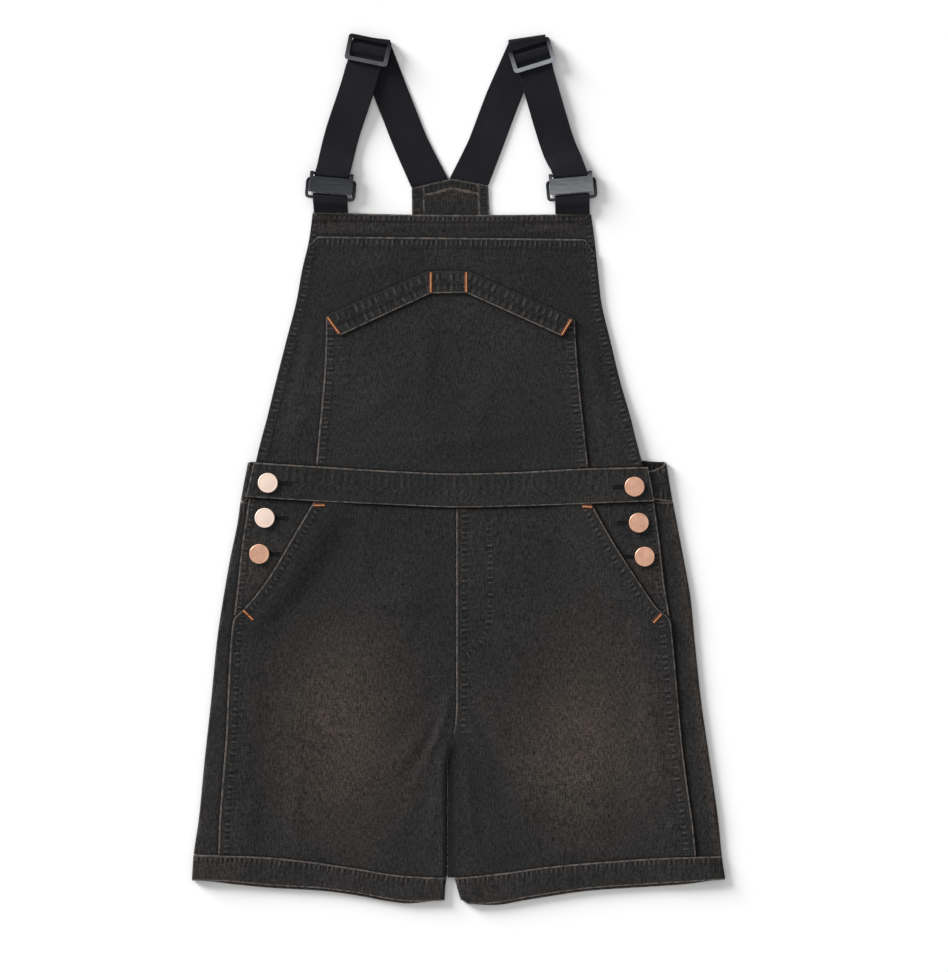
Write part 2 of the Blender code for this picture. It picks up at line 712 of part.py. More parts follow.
def strap_stub(strap):
    """A short loop of webbing round the ring's lower bar, sewn into the bib's top edge."""
    up = up_of(strap.hook_turn)
    bar = Vector(strap.hook) - up * (RING_DROP + RING_HEIGHT / 2 - RING_BAR / 2 - 0.9)
    foot = Vector(strap.stub_foot) + Vector((0.0, 0.8))
    radius = (WEB_TOP_AT_HOOK - WEB_LOW_AT_HOOK) / 2
    stations = []
    for t in (0.0, 0.35, 0.7):
        z = mix(WEB_FLOOR + WEBBING + SEAM, WEB_TOP_AT_HOOK, smooth_step(0.0, 0.7, t))
        stations.append(across(foot.lerp(bar, t), strap.hook_turn * t, z))
    for k in range(6):
        angle = math.radians(180.0 * k / 5)
        stations.append(across(bar + up * radius * math.sin(angle), strap.hook_turn,
                               WEB_LOW_AT_HOOK + radius * (1.0 + math.cos(angle))))
    for t in (0.7, 0.35, 0.0):
        z = mix(WEB_FLOOR, WEB_LOW_AT_HOOK, smooth_step(0.0, 0.7, t))
        stations.append(across(foot.lerp(bar, t), strap.hook_turn * t, z))
    return ribbon("strap_stub_" + strap.side, stations)


def rounded_frame(bm, width, height, bar, corner, low, high):
    """A rectangular frame with rounded corners, from one height to another."""
    loops = []
    for grow in (0.0, -bar):
        verts = []
        radius = max(corner + grow, 0.6)
        for quarter in range(4):
            sign_x = (1, -1, -1, 1)[quarter]
            sign_y = (1, 1, -1, -1)[quarter]
            centre = Vector((sign_x * (width / 2 + grow - radius), sign_y * (height / 2 + grow - radius)))
            for k in range(4):
                angle = math.radians(90.0 * quarter + 30.0 * k)
                point = centre + Vector((math.cos(angle), math.sin(angle))) * radius
                verts.append(bm.verts.new((point.x * MM, point.y * MM, low * MM)))
        loops.append([bm.edges.new((verts[i], verts[(i + 1) % 16])) for i in range(16)])
    faces = bmesh.ops.bridge_loops(bm, edges=loops[0] + loops[1])["faces"]
    top = bmesh.ops.extrude_face_region(bm, geom=faces)["geom"]
    moved = [item for item in top if isinstance(item, bmesh.types.BMVert)]
    bmesh.ops.translate(bm, verts=moved, vec=(0.0, 0.0, (high - low) * MM))


def box(bm, x_range, y_range, z_range):
    made = bmesh.ops.create_cube(bm, size=1.0)["verts"]
    size = [(r[1] - r[0]) * MM for r in (x_range, y_range, z_range)]
    middle = [(r[1] + r[0]) / 2 * MM for r in (x_range, y_range, z_range)]
    bmesh.ops.scale(bm, verts=made, vec=size)
    bmesh.ops.translate(bm, verts=made, vec=middle)


def place(item, point, turn):
    item.location = (point.x * MM, point.y * MM, 0.0)
    item.rotation_euler = (0.0, 0.0, math.radians(turn))


def join_piece(item, bm, name):
    """Adds a second closed shape to an object by a union."""
    other = add_object(name, bm, item.data.materials[0])
    other.location = item.location
    other.rotation_euler = item.rotation_euler
    other.hide_render = True
    other.display_type = "WIRE"
    union = item.modifiers.new("Union", "BOOLEAN")
    union.operation = "UNION"
    union.solver = "EXACT"
    union.object = other


def slider(strap):
    """A three-bar slider: two bars over the strap and a lower middle bar under it."""
    bm = bmesh.new()
    rounded_frame(bm, SLIDER_WIDTH, SLIDER_HEIGHT, SLIDER_BAR, 3.0, 5.8, 7.9)
    name = "slider_" + strap.side
    item = add_object(name, bm, colour_material(name, GUNMETAL, 0.35, 1.0))
    place(item, strap.slider, strap.slider_turn)
    half = SLIDER_WIDTH / 2
    bm = bmesh.new()
    box(bm, (-half + 0.3, half - 0.3), (-2.2, 2.2), (3.9, 5.1))
    join_piece(item, bm, "slider_middle_bar_" + strap.side)
    for sign in (-1, 1):
        bm = bmesh.new()
        ends = sorted((sign * (half - 0.3), sign * (half - SLIDER_RAIL)))
        box(bm, ends, (-2.2, 2.2), (3.9, 6.4))
        join_piece(item, bm, "slider_rail_" + strap.side + ("_a" if sign < 0 else "_b"))
    return item


def hook(strap):
    """A plate with a jaw turned back under it, and a bar on two posts for the strap."""
    half = HOOK_WIDTH / 2
    name = "hook_" + strap.side
    bm = bmesh.new()
    verts = [bm.verts.new((-half * MM, y * MM, z * MM)) for y, z in HOOK_PROFILE]
    face = bm.faces.new(verts)
    moved = bmesh.ops.extrude_face_region(bm, geom=[face])["geom"]
    moved = [item for item in moved if isinstance(item, bmesh.types.BMVert)]
    bmesh.ops.translate(bm, verts=moved, vec=(HOOK_WIDTH * MM, 0.0, 0.0))
    item = add_object(name, bm, colour_material(name, GUNMETAL, 0.35, 1.0))
    place(item, strap.hook, strap.hook_turn)
    bm = bmesh.new()
    box(bm, (-half + 0.3, half - 0.3), (HOOK_BAR_CENTRE - 1.2, HOOK_BAR_CENTRE + 1.2), (2.8, 4.4))
    join_piece(item, bm, name + "_bar")
    for sign in (-1, 1):
        bm = bmesh.new()
        ends = sorted((sign * (half - 0.2), sign * (half - 3.4)))
        box(bm, ends, (HOOK_BAR_CENTRE - 1.5, HOOK_BAR_CENTRE + 1.5), (2.7, 6.4))
        join_piece(item, bm, name + ("_post_a" if sign < 0 else "_post_b"))
        bm = bmesh.new()
        ends = sorted((sign * half, sign * (half - 3.2)))
        box(bm, ends, (6.0, HOOK_BAR_CENTRE + 1.7), (5.5, 7.2))
        join_piece(item, bm, name + ("_ear_a" if sign < 0 else "_ear_b"))
    return item


def ring(strap):
    bm = bmesh.new()
    rounded_frame(bm, RING_WIDTH, RING_HEIGHT, RING_BAR, 4.0, 2.7, 4.6)
    name = "ring_" + strap.side
    item = add_object(name, bm, colour_material(name, GUNMETAL, 0.35, 1.0))
    centre = Vector(strap.hook) - up_of(strap.hook_turn) * RING_DROP
    place(item, centre, strap.hook_turn)
    return item


def button(index, centre):
    """A metal button: a flat disc with a bevelled rim and a sunk middle."""
    name = "button_%d" % (index + 1)
    on_band = index % 3 == 0
    base = (BAND_END_LEVEL + BAND_CLOTH / 2 if on_band else FACING_LEVEL + CLOTH / 2) + SEAM
    bm = bmesh.new()
    bmesh.ops.create_cone(bm, cap_ends=True, segments=24, radius1=BUTTON_RADIUS * MM,
                          radius2=BUTTON_RADIUS * MM, depth=BUTTON_HEIGHT * MM)
    top = max(bm.faces, key=lambda face: face.calc_center_median().z)
    bmesh.ops.bevel(bm, geom=list(top.edges), offset=0.7 * MM, segments=2, affect="EDGES", profile=0.5,
                    material=-1)
    top = max(bm.faces, key=lambda face: face.calc_center_median().z)
    bmesh.ops.inset_region(bm, faces=[top], thickness=1.2 * MM, depth=-0.4 * MM)
    item = add_object(name, bm, colour_material(name, COPPER, 0.35, 1.0))
    item.location = (centre.x * MM, centre.y * MM, (base + BUTTON_HEIGHT / 2) * MM)
    return item


def build():
    clear_scene()
    back_waistband()
    back_bib()
    back_yoke()
    for side in (LEFT, RIGHT):
        back_leg(side)
        front_leg(side)
        hip_facing(side)
        hem(side)
    front_waistband()
    bib_front()
    bib_overlay()
    bib_pocket()
    bib_pocket_band()
    for strap in STRAPS:
        front_strap(strap)
        back_strap(strap)
        strap_stub(strap)
        slider(strap)
        hook(strap)
        ring(strap)
    for index, centre in enumerate(BUTTONS):
        button(index, centre)


build()
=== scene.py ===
# %% [markdown]
# # Bib overall shorts, laid flat
# The garment lies on a white surface with its front up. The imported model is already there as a
# fixed frame: each cloth panel gets a finer twin of the same form here, with its folds, its
# sewing and its washed denim. Lengths are in millimetres until a mesh is made.

# %% Load the frame
import math
from collections import namedtuple

import bmesh
import bpy
import numpy as np
from mathutils import Matrix, Vector


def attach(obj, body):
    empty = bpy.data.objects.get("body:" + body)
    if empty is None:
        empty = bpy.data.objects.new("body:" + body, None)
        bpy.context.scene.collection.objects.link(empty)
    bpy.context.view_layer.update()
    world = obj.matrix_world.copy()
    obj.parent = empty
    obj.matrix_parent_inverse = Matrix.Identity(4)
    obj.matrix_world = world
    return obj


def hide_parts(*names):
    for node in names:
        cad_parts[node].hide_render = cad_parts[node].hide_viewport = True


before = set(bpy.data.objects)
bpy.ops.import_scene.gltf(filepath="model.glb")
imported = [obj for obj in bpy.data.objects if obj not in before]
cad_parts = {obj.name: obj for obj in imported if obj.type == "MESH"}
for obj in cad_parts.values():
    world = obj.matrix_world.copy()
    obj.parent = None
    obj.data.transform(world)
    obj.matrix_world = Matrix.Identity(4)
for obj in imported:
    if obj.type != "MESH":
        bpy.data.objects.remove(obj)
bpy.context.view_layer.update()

MM = 0.001
LEFT = -1
RIGHT = 1


def new_object(name, data):
    item = bpy.data.objects.new(name, data)
    bpy.context.collection.objects.link(item)
    return item


print("nodes", len(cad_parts))

# %% [markdown]
# ## Camera, surface and light
# A catalogue picture of laid clothes is taken from straight above, from far away, so that nothing
# leans. A long lens five metres up does the same. One soft low light from the upper left, the
# same strength everywhere, and a white sky around give the grey shadow at the right and below.

# %% Camera, surface and light
SHEET_ROOM = 0.904
LENS = 200.0
SENSOR = 36.0
AIM = (0.0144, -0.01535)
LIGHT_WAY = (0.80, -0.62, -0.285)
SKY = 0.56

camera_data = bpy.data.cameras.new("camera")
camera_data.lens = LENS
camera_data.sensor_width = SENSOR
camera_data.clip_end = 50.0
camera = new_object("camera", camera_data)
camera.location = (*AIM, SHEET_ROOM * LENS / SENSOR)
bpy.context.scene.camera = camera

key_data = bpy.data.lights.new("key", "SUN")
key_data.energy = 6.2
key_data.angle = math.radians(24.0)
key = new_object("key", key_data)
key.rotation_euler = Vector(LIGHT_WAY).to_track_quat("-Z", "Y").to_euler()

world = bpy.data.worlds.new("studio")
world.use_nodes = True
world.node_tree.nodes["Background"].inputs["Color"].default_value = (1.0, 1.0, 1.0, 1.0)
world.node_tree.nodes["Background"].inputs["Strength"].default_value = SKY
bpy.context.scene.world = world
bpy.context.scene.view_settings.view_transform = "Standard"
print("camera height", round(camera.location.z, 3), "m")

# %% [markdown]
# ## Small tools for curves
# Every outline was measured at a few places. A curve that goes through them without overshoot
# keeps the cloth's edges calm between those places, as an ironed edge is.

# %% Curves
def smooth_step(low, high, value):
    t = np.clip((np.asarray(value, float) - low) / (high - low), 0.0, 1.0)
    return t * t * (3.0 - 2.0 * t)


def mix(a, b, t):
    return a + (b - a) * t


def way_along(points):
    """How far along a line each of its points is."""
    return np.concatenate(([0.0], np.cumsum(np.linalg.norm(np.diff(points, axis=0), axis=1))))


def smooth_curve(places, values):
    places, values = np.asarray(places, float), np.asarray(values, float)
    if places[0] > places[-1]:
        places, values = places[::-1], values[::-1]
    steps = np.diff(values) / np.diff(places)
    product, total = steps[:-1] * steps[1:], steps[:-1] + steps[1:]
    inner = np.where(product > 0.0, 2.0 * product / np.where(total == 0.0, 1.0, total), 0.0)
    slopes = np.concatenate(([steps[0]], inner, [steps[-1]]))

    def value_at(place):
        place = np.clip(np.asarray(place, float), places[0], places[-1])
        i = np.clip(np.searchsorted(places, place) - 1, 0, len(places) - 2)
        width = places[i + 1] - places[i]
        t = (place - places[i]) / width
        rise = values[i + 1] - values[i]
        start, end = slopes[i] * width, slopes[i + 1] * width
        return (values[i] + start * t + (3 * rise - 2 * start - end) * t ** 2
                + (start + end - 2 * rise) * t ** 3)

    return value_at


def smooth_path(way, points, places):
    """A smooth line through points, read at places along its way."""
    return np.stack([smooth_curve(way, column)(places) for column in points.T], axis=1)


def edge_pair(rows):
    """Curves of the left and right edge over the height up the garment."""
    ups, lefts, rights = zip(*rows)
    return smooth_curve(ups, lefts), smooth_curve(ups, rights)


def line_over(points):
    return smooth_curve(*zip(*points))


print("curve check", float(smooth_curve((0, 1, 2), (0, 1, 4))(1.5)))

# %% [markdown]
# ## The pattern
# These are the garment's own outlines: how high up, where the left edge is and where the right
# edge is. A maker would call this the pattern, and every panel below reads its edges from it.

# %% Outlines of the panels
bib_left, bib_right = edge_pair((
    (239.0, -135.5, 123.0), (213.5, -139.0, 126.5), (185.5, -145.5, 129.5), (157.5, -150.5, 132.5),
    (120.5, -160.0, 141.0), (83.0, -169.5, 150.0), (46.0, -178.5, 160.5), (27.5, -183.5, 165.0),
    (-8.0, -192.0, 174.5)))
back_bib_left, back_bib_right = edge_pair((
    (218.0, -43.0, 30.0), (176.0, -54.5, 43.0), (129.5, -75.0, 66.5), (83.0, -105.5, 96.5),
    (36.5, -143.0, 133.5), (11.5, -166.0, 159.5)))
fold_left, fold_right = edge_pair((
    (11.5, -195.0, 192.5), (-28.5, -202.5, 199.0), (-47.0, -205.0, 202.5), (-84.0, -212.5, 209.5),
    (-121.5, -219.0, 216.0), (-158.5, -224.5, 219.5), (-214.5, -230.0, 225.5),
    (-270.0, -236.0, 233.5), (-326.0, -241.5, 241.5), (-361.5, -246.5, 245.0),
    (-382.0, -247.8, 247.8)))
side_left, side_right = edge_pair((
    (-27.5, -194.0, 181.0), (-65.5, -200.5, 186.5), (-105.5, -205.0, 191.0),
    (-140.0, -209.0, 196.5), (-158.5, -211.5, 199.0), (-203.0, -214.0, 203.0),
    (-248.0, -216.0, 207.0), (-292.5, -219.5, 212.5), (-336.0, -222.5, 218.5),
    (-382.0, -223.5, 222.5)))
mouth_left, mouth_right = edge_pair((
    (-28.0, -133.0, 122.5), (-70.0, -157.5, 145.5), (-107.5, -181.0, 169.5),
    (-129.5, -199.0, 185.0), (-140.0, -209.0, 196.5), (-158.5, -211.5, 199.0)))
inner_left, inner_right = edge_pair((
    (-20.0, -2.5, -2.1), (-214.5, -2.5, -2.1), (-228.5, -3.5, -3.1), (-247.0, -7.0, -6.5),
    (-265.5, -10.0, -9.88), (-307.5, -10.32, -10.2), (-352.0, -10.5, -10.38),
    (-362.0, -10.7, -10.3), (-370.5, -11.0, -9.2), (-380.0, -11.5, -3.5),
    (-391.0, -12.5, -1.0), (-403.0, -13.0, 2.5)))
pocket_left, pocket_right = edge_pair((
    (143.0, -123.0, 108.0), (122.0, -123.2, 108.8), (0.0, -132.5, 120.5)))
band_top = line_over((
    (-190.0, 6.5), (-133.5, 3.0), (-60.0, -1.5), (-3.5, -3.8), (55.0, -2.4), (116.0, 0.8),
    (176.0, 2.2)))
band_foot = line_over((
    (-197.5, -25.5), (-133.5, -29.5), (-60.0, -33.0), (-2.5, -35.3), (78.5, -33.5),
    (141.0, -31.0), (182.0, -29.5)))
hem_top = line_over((
    (-247.0, -358.0), (-189.5, -359.8), (-143.0, -364.0), (-95.0, -371.0), (-50.0, -377.8),
    (-8.0, -379.5), (35.0, -376.0), (82.5, -369.5), (125.0, -365.5), (205.0, -360.5),
    (247.0, -359.5)))
hem_foot = line_over((
    (-248.0, -382.0), (-222.5, -382.5), (-176.0, -386.5), (-126.0, -389.5), (-92.5, -394.0),
    (-63.0, -399.5), (-43.0, -401.5), (-15.0, -400.5), (0.5, -399.0), (10.0, -403.9),
    (27.5, -403.5), (68.5, -397.0), (125.0, -389.0), (178.0, -385.5), (248.0, -381.0)))
bib_top = line_over(((-136.0, 239.0), (-0.5, 236.5), (124.0, 237.5)))

OVERLAY_TOP = np.array(((-138.0, 209.5), (-130.5, 216.5), (117.5, 214.0), (127.0, 201.0)))
POCKET_TOP = np.array(((-123.0, 143.0), (-28.5, 184.0), (9.0, 184.0), (108.0, 140.0)))
BAND_LOW = np.array(((-109.5, 124.5), (-26.0, 163.5), (7.0, 164.0), (95.5, 124.0)))
YOKE_ROOF = np.array(((-43.5, 261.5), (-25.0, 265.9), (-6.5, 270.3), (10.5, 267.2),
                      (27.5, 264.0)))


def straight_line(points, x):
    return np.interp(x, points[:, 0], points[:, 1])


def pick(side, left, right, y):
    return left(y) if side == LEFT else right(y)


def front_edge(side, y):
    """The front panel's outer edge: pocket mouth at the hip, side seam down the leg."""
    mouth = pick(side, mouth_left, mouth_right, y)
    return np.where(np.asarray(y) < -158.5, pick(side, side_left, side_right, y), mouth)


print("waist", round(float(side_right(-28) - side_left(-28))), "mm across")

# %% [markdown]
# ## How high each layer lies
# Laid clothes are a stack. The back rests on the surface, its sides turn over and lie on it, the
# pocket facing lies on those, and the front panel rides over the stack at the side and sags
# between. These heights are the middle of each layer's cloth.

# %% Thickness and height of the layers
CLOTH = 1.2
BAND_CLOTH = 2.2
HEM_CLOTH = 2.0
WEBBING = 1.6
SEAM = 0.3
BACK_LEVEL = 0.6
WRAP_LEVEL = 3.4
FACING_LEVEL = 4.9
SLANT_LEVEL = 6.4
LEG_LEVEL = 3.2
LEG_TOP_LEVEL = 5.0
BACK_BAND_LEVEL = 1.1
BACK_BAND_WRAP_LEVEL = 3.8
BAND_LEVEL = 5.9
BAND_END_LEVEL = 6.4
HEM_LOW_LEVEL = 1.0
HEM_TOP_LEVEL = 3.9
BAND_BOTTOM = -30.0


def front_level(side, x, y):
    inward = np.abs(x - front_edge(side, y))
    at_edge = mix(FACING_LEVEL, SLANT_LEVEL, smooth_step(-168.0, -140.0, y))
    wave = 0.35 * np.sin(x * 0.043 + y * 0.012 + side) + 0.25 * np.sin(y * 0.031 - x * 0.017)
    sag = LEG_LEVEL + wave * smooth_step(10.0, 60.0, inward)
    sag = mix(sag, LEG_TOP_LEVEL, smooth_step(-80.0, BAND_BOTTOM, y))
    return mix(at_edge, sag, smooth_step(17.0, 48.0, inward))


def band_level(x):
    return mix(BAND_LEVEL, BAND_END_LEVEL, smooth_step(110.0, 150.0, np.abs(x)))


def bib_level(x, y, layer=0):
    reach = np.maximum(back_bib_left(y) - x, x - back_bib_right(y))
    on_back = 1.0 - smooth_step(2.0, 75.0, reach)
    on_band = smooth_step(95.0, 18.0, y)
    level = 0.8 + (CLOTH + SEAM) * np.maximum(on_back, on_band) + on_band
    return level + layer * (CLOTH + SEAM)


print("front panel at the crotch", round(float(front_level(LEFT, -20.0, -260.0)), 2), "mm up")

# %% [markdown]
# ## Creases placed one by one
# Cloth that was folded and laid keeps soft troughs and ridges. A simulation would choose its own,
# so each one is written down instead: its middle, its direction, half its length, its width, its
# height and how much it bends. No two are alike, because equal folds look like a machine's work.

# %% Creases
Crease = namedtuple("Crease", "x y turn reach width height bend")

LEG_CREASES = (
    Crease(-19, -238, 66, 40, 3.6, 1.0, 3), Crease(-31, -250, 58, 46, 6.5, -0.9, 5),
    Crease(-40, -226, 48, 60, 8.0, -0.5, -5), Crease(-18, -282, 80, 55, 5.5, 0.55, 3),
    Crease(-46, -300, 66, 58, 10.0, 0.45, 7), Crease(-70, -268, 27, 66, 12.0, 0.4, -6),
    Crease(-92, -318, 78, 50, 13.0, -0.4, 5), Crease(-130, -226, 12, 56, 14.0, 0.35, 5),
    Crease(-152, -300, 84, 62, 9.0, 0.5, -7), Crease(-184, -262, 74, 60, 7.0, -0.45, 6),
    Crease(-196, -334, 82, 36, 6.0, 0.5, -3), Crease(-112, -142, 20, 58, 12.0, -0.35, 7),
    Crease(-60, -122, 6, 50, 9.0, 0.4, -4), Crease(-38, -158, 70, 60, 10.0, -0.35, 5),
    Crease(-86, -80, 85, 34, 8.0, 0.35, 3), Crease(-120, -345, 15, 42, 7.0, 0.4, 3),
    Crease(-58, -348, -12, 38, 6.0, 0.45, -3),
    Crease(16, -240, 118, 50, 5.0, 0.7, -4), Crease(28, -264, 136, 44, 6.0, -0.6, -5),
    Crease(38, -232, 128, 56, 8.5, 0.5, 6), Crease(10, -288, 98, 52, 5.0, 0.5, -3),
    Crease(44, -308, 108, 60, 9.5, -0.45, -6), Crease(74, -276, 152, 62, 12.0, 0.4, 6),
    Crease(96, -326, 96, 46, 12.0, 0.4, -4), Crease(126, -218, 165, 60, 13.0, -0.35, -5),
    Crease(150, -306, 94, 58, 10.0, -0.45, 6), Crease(182, -256, 104, 64, 7.5, 0.5, -6),
    Crease(192, -330, 97, 40, 6.0, -0.45, 3), Crease(110, -134, 158, 54, 11.0, 0.35, -6),
    Crease(62, -114, 172, 46, 10.0, -0.35, 4), Crease(52, -176, 112, 56, 9.0, 0.4, -5),
    Crease(92, -76, 96, 36, 8.0, -0.3, -3), Crease(118, -350, 168, 44, 7.0, 0.4, -3),
    Crease(52, -352, 12, 36, 6.0, -0.4, 3), Crease(146, -178, 130, 40, 9.0, 0.3, 4),
)
BIB_CREASES = (
    Crease(-6, 226, 1, 110, 2.6, 0.75, 2), Crease(-92, 222, -3, 50, 2.8, 0.6, -2),
    Crease(84, 223, 4, 46, 2.4, 0.65, 2), Crease(-30, 96, 84, 46, 9.0, 0.6, 5),
    Crease(22, 62, 72, 50, 11.0, 0.55, -6), Crease(-78, 60, 34, 52, 10.0, 0.5, 7),
    Crease(74, 96, 148, 48, 9.0, 0.5, -5), Crease(-88, 186, 12, 50, 10.0, 0.45, 4),
    Crease(64, 190, 170, 44, 9.0, 0.4, -4), Crease(-142, 96, 76, 44, 5.0, 0.55, 4),
    Crease(128, 88, 104, 46, 5.5, 0.5, -4), Crease(4, 26, 5, 70, 7.0, 0.45, 3),
    Crease(-150, 40, 68, 30, 6.0, 0.4, -3), Crease(140, 34, 112, 34, 6.0, 0.45, 3),
)
BACK_CREASES = (
    Crease(-120, -230, 18, 80, 14.0, 0.5, 8), Crease(-60, -300, 66, 60, 10.0, 0.6, 6),
    Crease(-160, -120, 80, 60, 9.0, 0.45, -5), Crease(-70, -110, 30, 60, 12.0, 0.5, 6),
    Crease(110, -240, 160, 76, 13.0, 0.5, -7), Crease(60, -306, 112, 62, 10.0, 0.55, -5),
    Crease(150, -118, 98, 58, 9.0, 0.45, 5), Crease(64, -104, 148, 56, 11.0, 0.5, -6),
    Crease(-10, 120, 88, 70, 10.0, 0.3, 4),
)

CREASE_DEPTH = 1.5


def drape(creases, x, y):
    total = np.zeros(np.broadcast(x, y).shape)
    for c in creases:
        turn = math.radians(c.turn)
        along = (x - c.x) * math.cos(turn) + (y - c.y) * math.sin(turn)
        share = along / c.reach
        across = (y - c.y) * math.cos(turn) - (x - c.x) * math.sin(turn) - c.bend * share ** 2
        swell = np.clip(1.0 - share ** 2, 0.0, 1.0) ** 1.5
        total = total + CREASE_DEPTH * c.height * swell * np.exp(-(across / c.width) ** 2)
    return total


def leg_drape(side, x, y):
    """Front folds, calm where the panel rests on the side layers or under the waistband."""
    inward = np.abs(x - front_edge(side, y))
    free = smooth_step(14.0, 34.0, inward) * smooth_step(-36.0, -60.0, y)
    free = free * smooth_step(-362.0, -348.0, y) * 0.75 + 0.25 * smooth_step(9.0, 15.0, inward)
    return np.clip(drape(LEG_CREASES, x, y), -0.9, 1.6) * free


def bib_drape(x, y):
    """Folds of the bib's layers, which all lift together and never sink into the surface."""
    side_room = np.minimum(x - bib_left(y), bib_right(y) - x)
    return np.maximum(drape(BIB_CREASES, x, y), 0.0) * smooth_step(2.0, 14.0, side_room)


print("creases", len(LEG_CREASES), "front,", len(BIB_CREASES), "bib,", len(BACK_CREASES), "back")

# %% [markdown]
# ## A recipe for materials
# A procedural material is a chain of small nodes. This helper keeps the chain readable: each call
# adds one node and gives back its output, so a pattern reads like a sentence.

# %% Material helper
class Recipe:
    def __init__(self, name, colour, roughness, **more):
        self.material = bpy.data.materials.new(name)
        self.material.use_nodes = True
        self.tree = self.material.node_tree
        self.shader = self.tree.nodes["Principled BSDF"]
        self.shader.inputs["Base Color"].default_value = (*colour, 1.0)
        self.shader.inputs["Roughness"].default_value = roughness
        for socket, value in more.items():
            self.shader.inputs[socket.replace("_", " ")].default_value = value

    def node(self, kind, settings=None, **inputs):
        made = self.tree.nodes.new("ShaderNode" + kind)
        for key_name, value in (settings or {}).items():
            setattr(made, key_name, value)
        for socket, value in inputs.items():
            self.feed(made.inputs[socket.replace("_", " ")], value)
        return made

    def feed(self, socket, value):
        if isinstance(value, bpy.types.NodeSocket):
            self.tree.links.new(value, socket)
        else:
            socket.default_value = value

    def attribute(self, name):
        picked = self.node("Attribute", {"attribute_name": name})
        return self.node("SeparateXYZ", Vector=picked.outputs["Vector"]).outputs

    def place(self, stretch, turn=0.0):
        where = self.node("TexCoord").outputs["Object"]
        turned = self.node("Mapping", Vector=where, Rotation=(0.0, 0.0, turn)).outputs["Vector"]
        return self.node("Mapping", Vector=turned, Scale=stretch).outputs["Vector"]

    def vector(self, x, y, z=0.0):
        return self.node("CombineXYZ", X=x, Y=y, Z=z).outputs["Vector"]

    def noise(self, vector, scale=1.0, detail=2.0, rough=0.5):
        made = self.node("TexNoise", Vector=vector, Scale=scale, Detail=detail, Roughness=rough)
        return made.outputs["Fac"]

    def sums(self, operation, a, b=0.0, clamp=False):
        made = self.node("Math", {"operation": operation, "use_clamp": clamp})
        self.feed(made.inputs[0], a)
        self.feed(made.inputs[1], b)
        return made.outputs["Value"]

    def times(self, a, b):
        return self.sums("MULTIPLY", a, b)

    def span(self, value, low, high, start=0.0, end=1.0):
        """A smooth rise from start to end while the value goes from low to high."""
        made = self.node("MapRange", {"interpolation_type": "SMOOTHSTEP"}, Value=value)
        limits = (("From Min", low), ("From Max", high), ("To Min", start), ("To Max", end))
        for name, number in limits:
            self.feed(made.inputs[name], number)
        return made.outputs["Result"]

    def blend(self, factor, a, b, kind="MIX"):
        made = self.node("Mix", {"data_type": "RGBA", "blend_type": kind})
        self.feed(made.inputs["Factor"], factor)
        for index, value in ((6, a), (7, b)):
            if isinstance(value, tuple):
                value = (*value, 1.0)
            self.feed(made.inputs[index], value)
        return made.outputs[2]

    def shade(self, colour, amount):
        """A colour made lighter or darker by a factor that varies over the surface."""
        grey = self.node("CombineColor", Red=amount, Green=amount, Blue=amount).outputs["Color"]
        return self.blend(1.0, colour, grey, "MULTIPLY")

    def bump(self, height, distance, strength=1.0, under=None):
        made = self.node("Bump", Height=height, Distance=distance, Strength=strength)
        if under is not None:
            self.feed(made.inputs["Normal"], under)
        return made.outputs["Normal"]

    def finish(self, colour=None, normal=None, roughness=None):
        for socket, value in (("Base Color", colour), ("Normal", normal), ("Roughness", roughness)):
            if value is not None:
                self.feed(self.shader.inputs[socket], value)
        return self.material


print("recipe helper ready")

# %% [markdown]
# ## White surface
# The photograph's ground is plain white paper or card. A very faint grain keeps it from looking
# like nothing at all, and it lies a fifth of a millimetre under the cloth.

# %% White surface
paper = Recipe("paper", (0.93, 0.93, 0.93), 0.9)
grain = paper.noise(paper.place((400.0, 400.0, 400.0)), 1.0, 3.0)
paper_white = paper.finish(colour=paper.blend(grain, (0.92, 0.92, 0.92), (0.94, 0.94, 0.94)),
                           normal=paper.bump(grain, 0.00003, 0.3))
floor_mesh = bpy.data.meshes.new("surface")
bm = bmesh.new()
bmesh.ops.create_grid(bm, x_segments=1, y_segments=1, size=4.0)
bmesh.ops.translate(bm, verts=bm.verts, vec=(0.0, 0.0, -0.0002))
bm.to_mesh(floor_mesh)
bm.free()
floor_mesh.materials.append(paper_white)
floor = new_object("surface", floor_mesh)
print("surface at", floor_mesh.vertices[0].co.z * 1000, "mm")

# %% [markdown]
# ## Washed black denim
# Denim is a twill: fine diagonal ribs of a dark warp over a lighter weft, with slubs where a yarn
# is thick. Washing wears the raised places, so edges go light, the puckers beside a seam turn into
# light and dark ladders, called roping, and the thighs fade to brown. The panels carry attributes
# for this: how far along a seam a point is, how far from the edge and how faded, how its seams
# pucker, and how much painted shade it gets, standing in for the shade of covering edges,
# stitched grooves and turned folds.

# %% Denim
BLACK_COOL = (0.0138, 0.0140, 0.0145)
BLACK_WARM = (0.0172, 0.0152, 0.0138)
FADED_BROWN = (0.0418, 0.0328, 0.0254)
FADED_ROSE = (0.0446, 0.0327, 0.0284)
ROPE_LIGHT = (0.066, 0.060, 0.056)
ROPE_DARK = (0.0038, 0.0032, 0.0031)
EDGE_WORN = (0.125, 0.106, 0.094)
# Painted shade: the near-black that cloth is darkened towards beside covering edges, in stitched
# grooves and on turned folds.
PAINTED_SHADE_COLOUR = (0.0036, 0.0032, 0.0032)

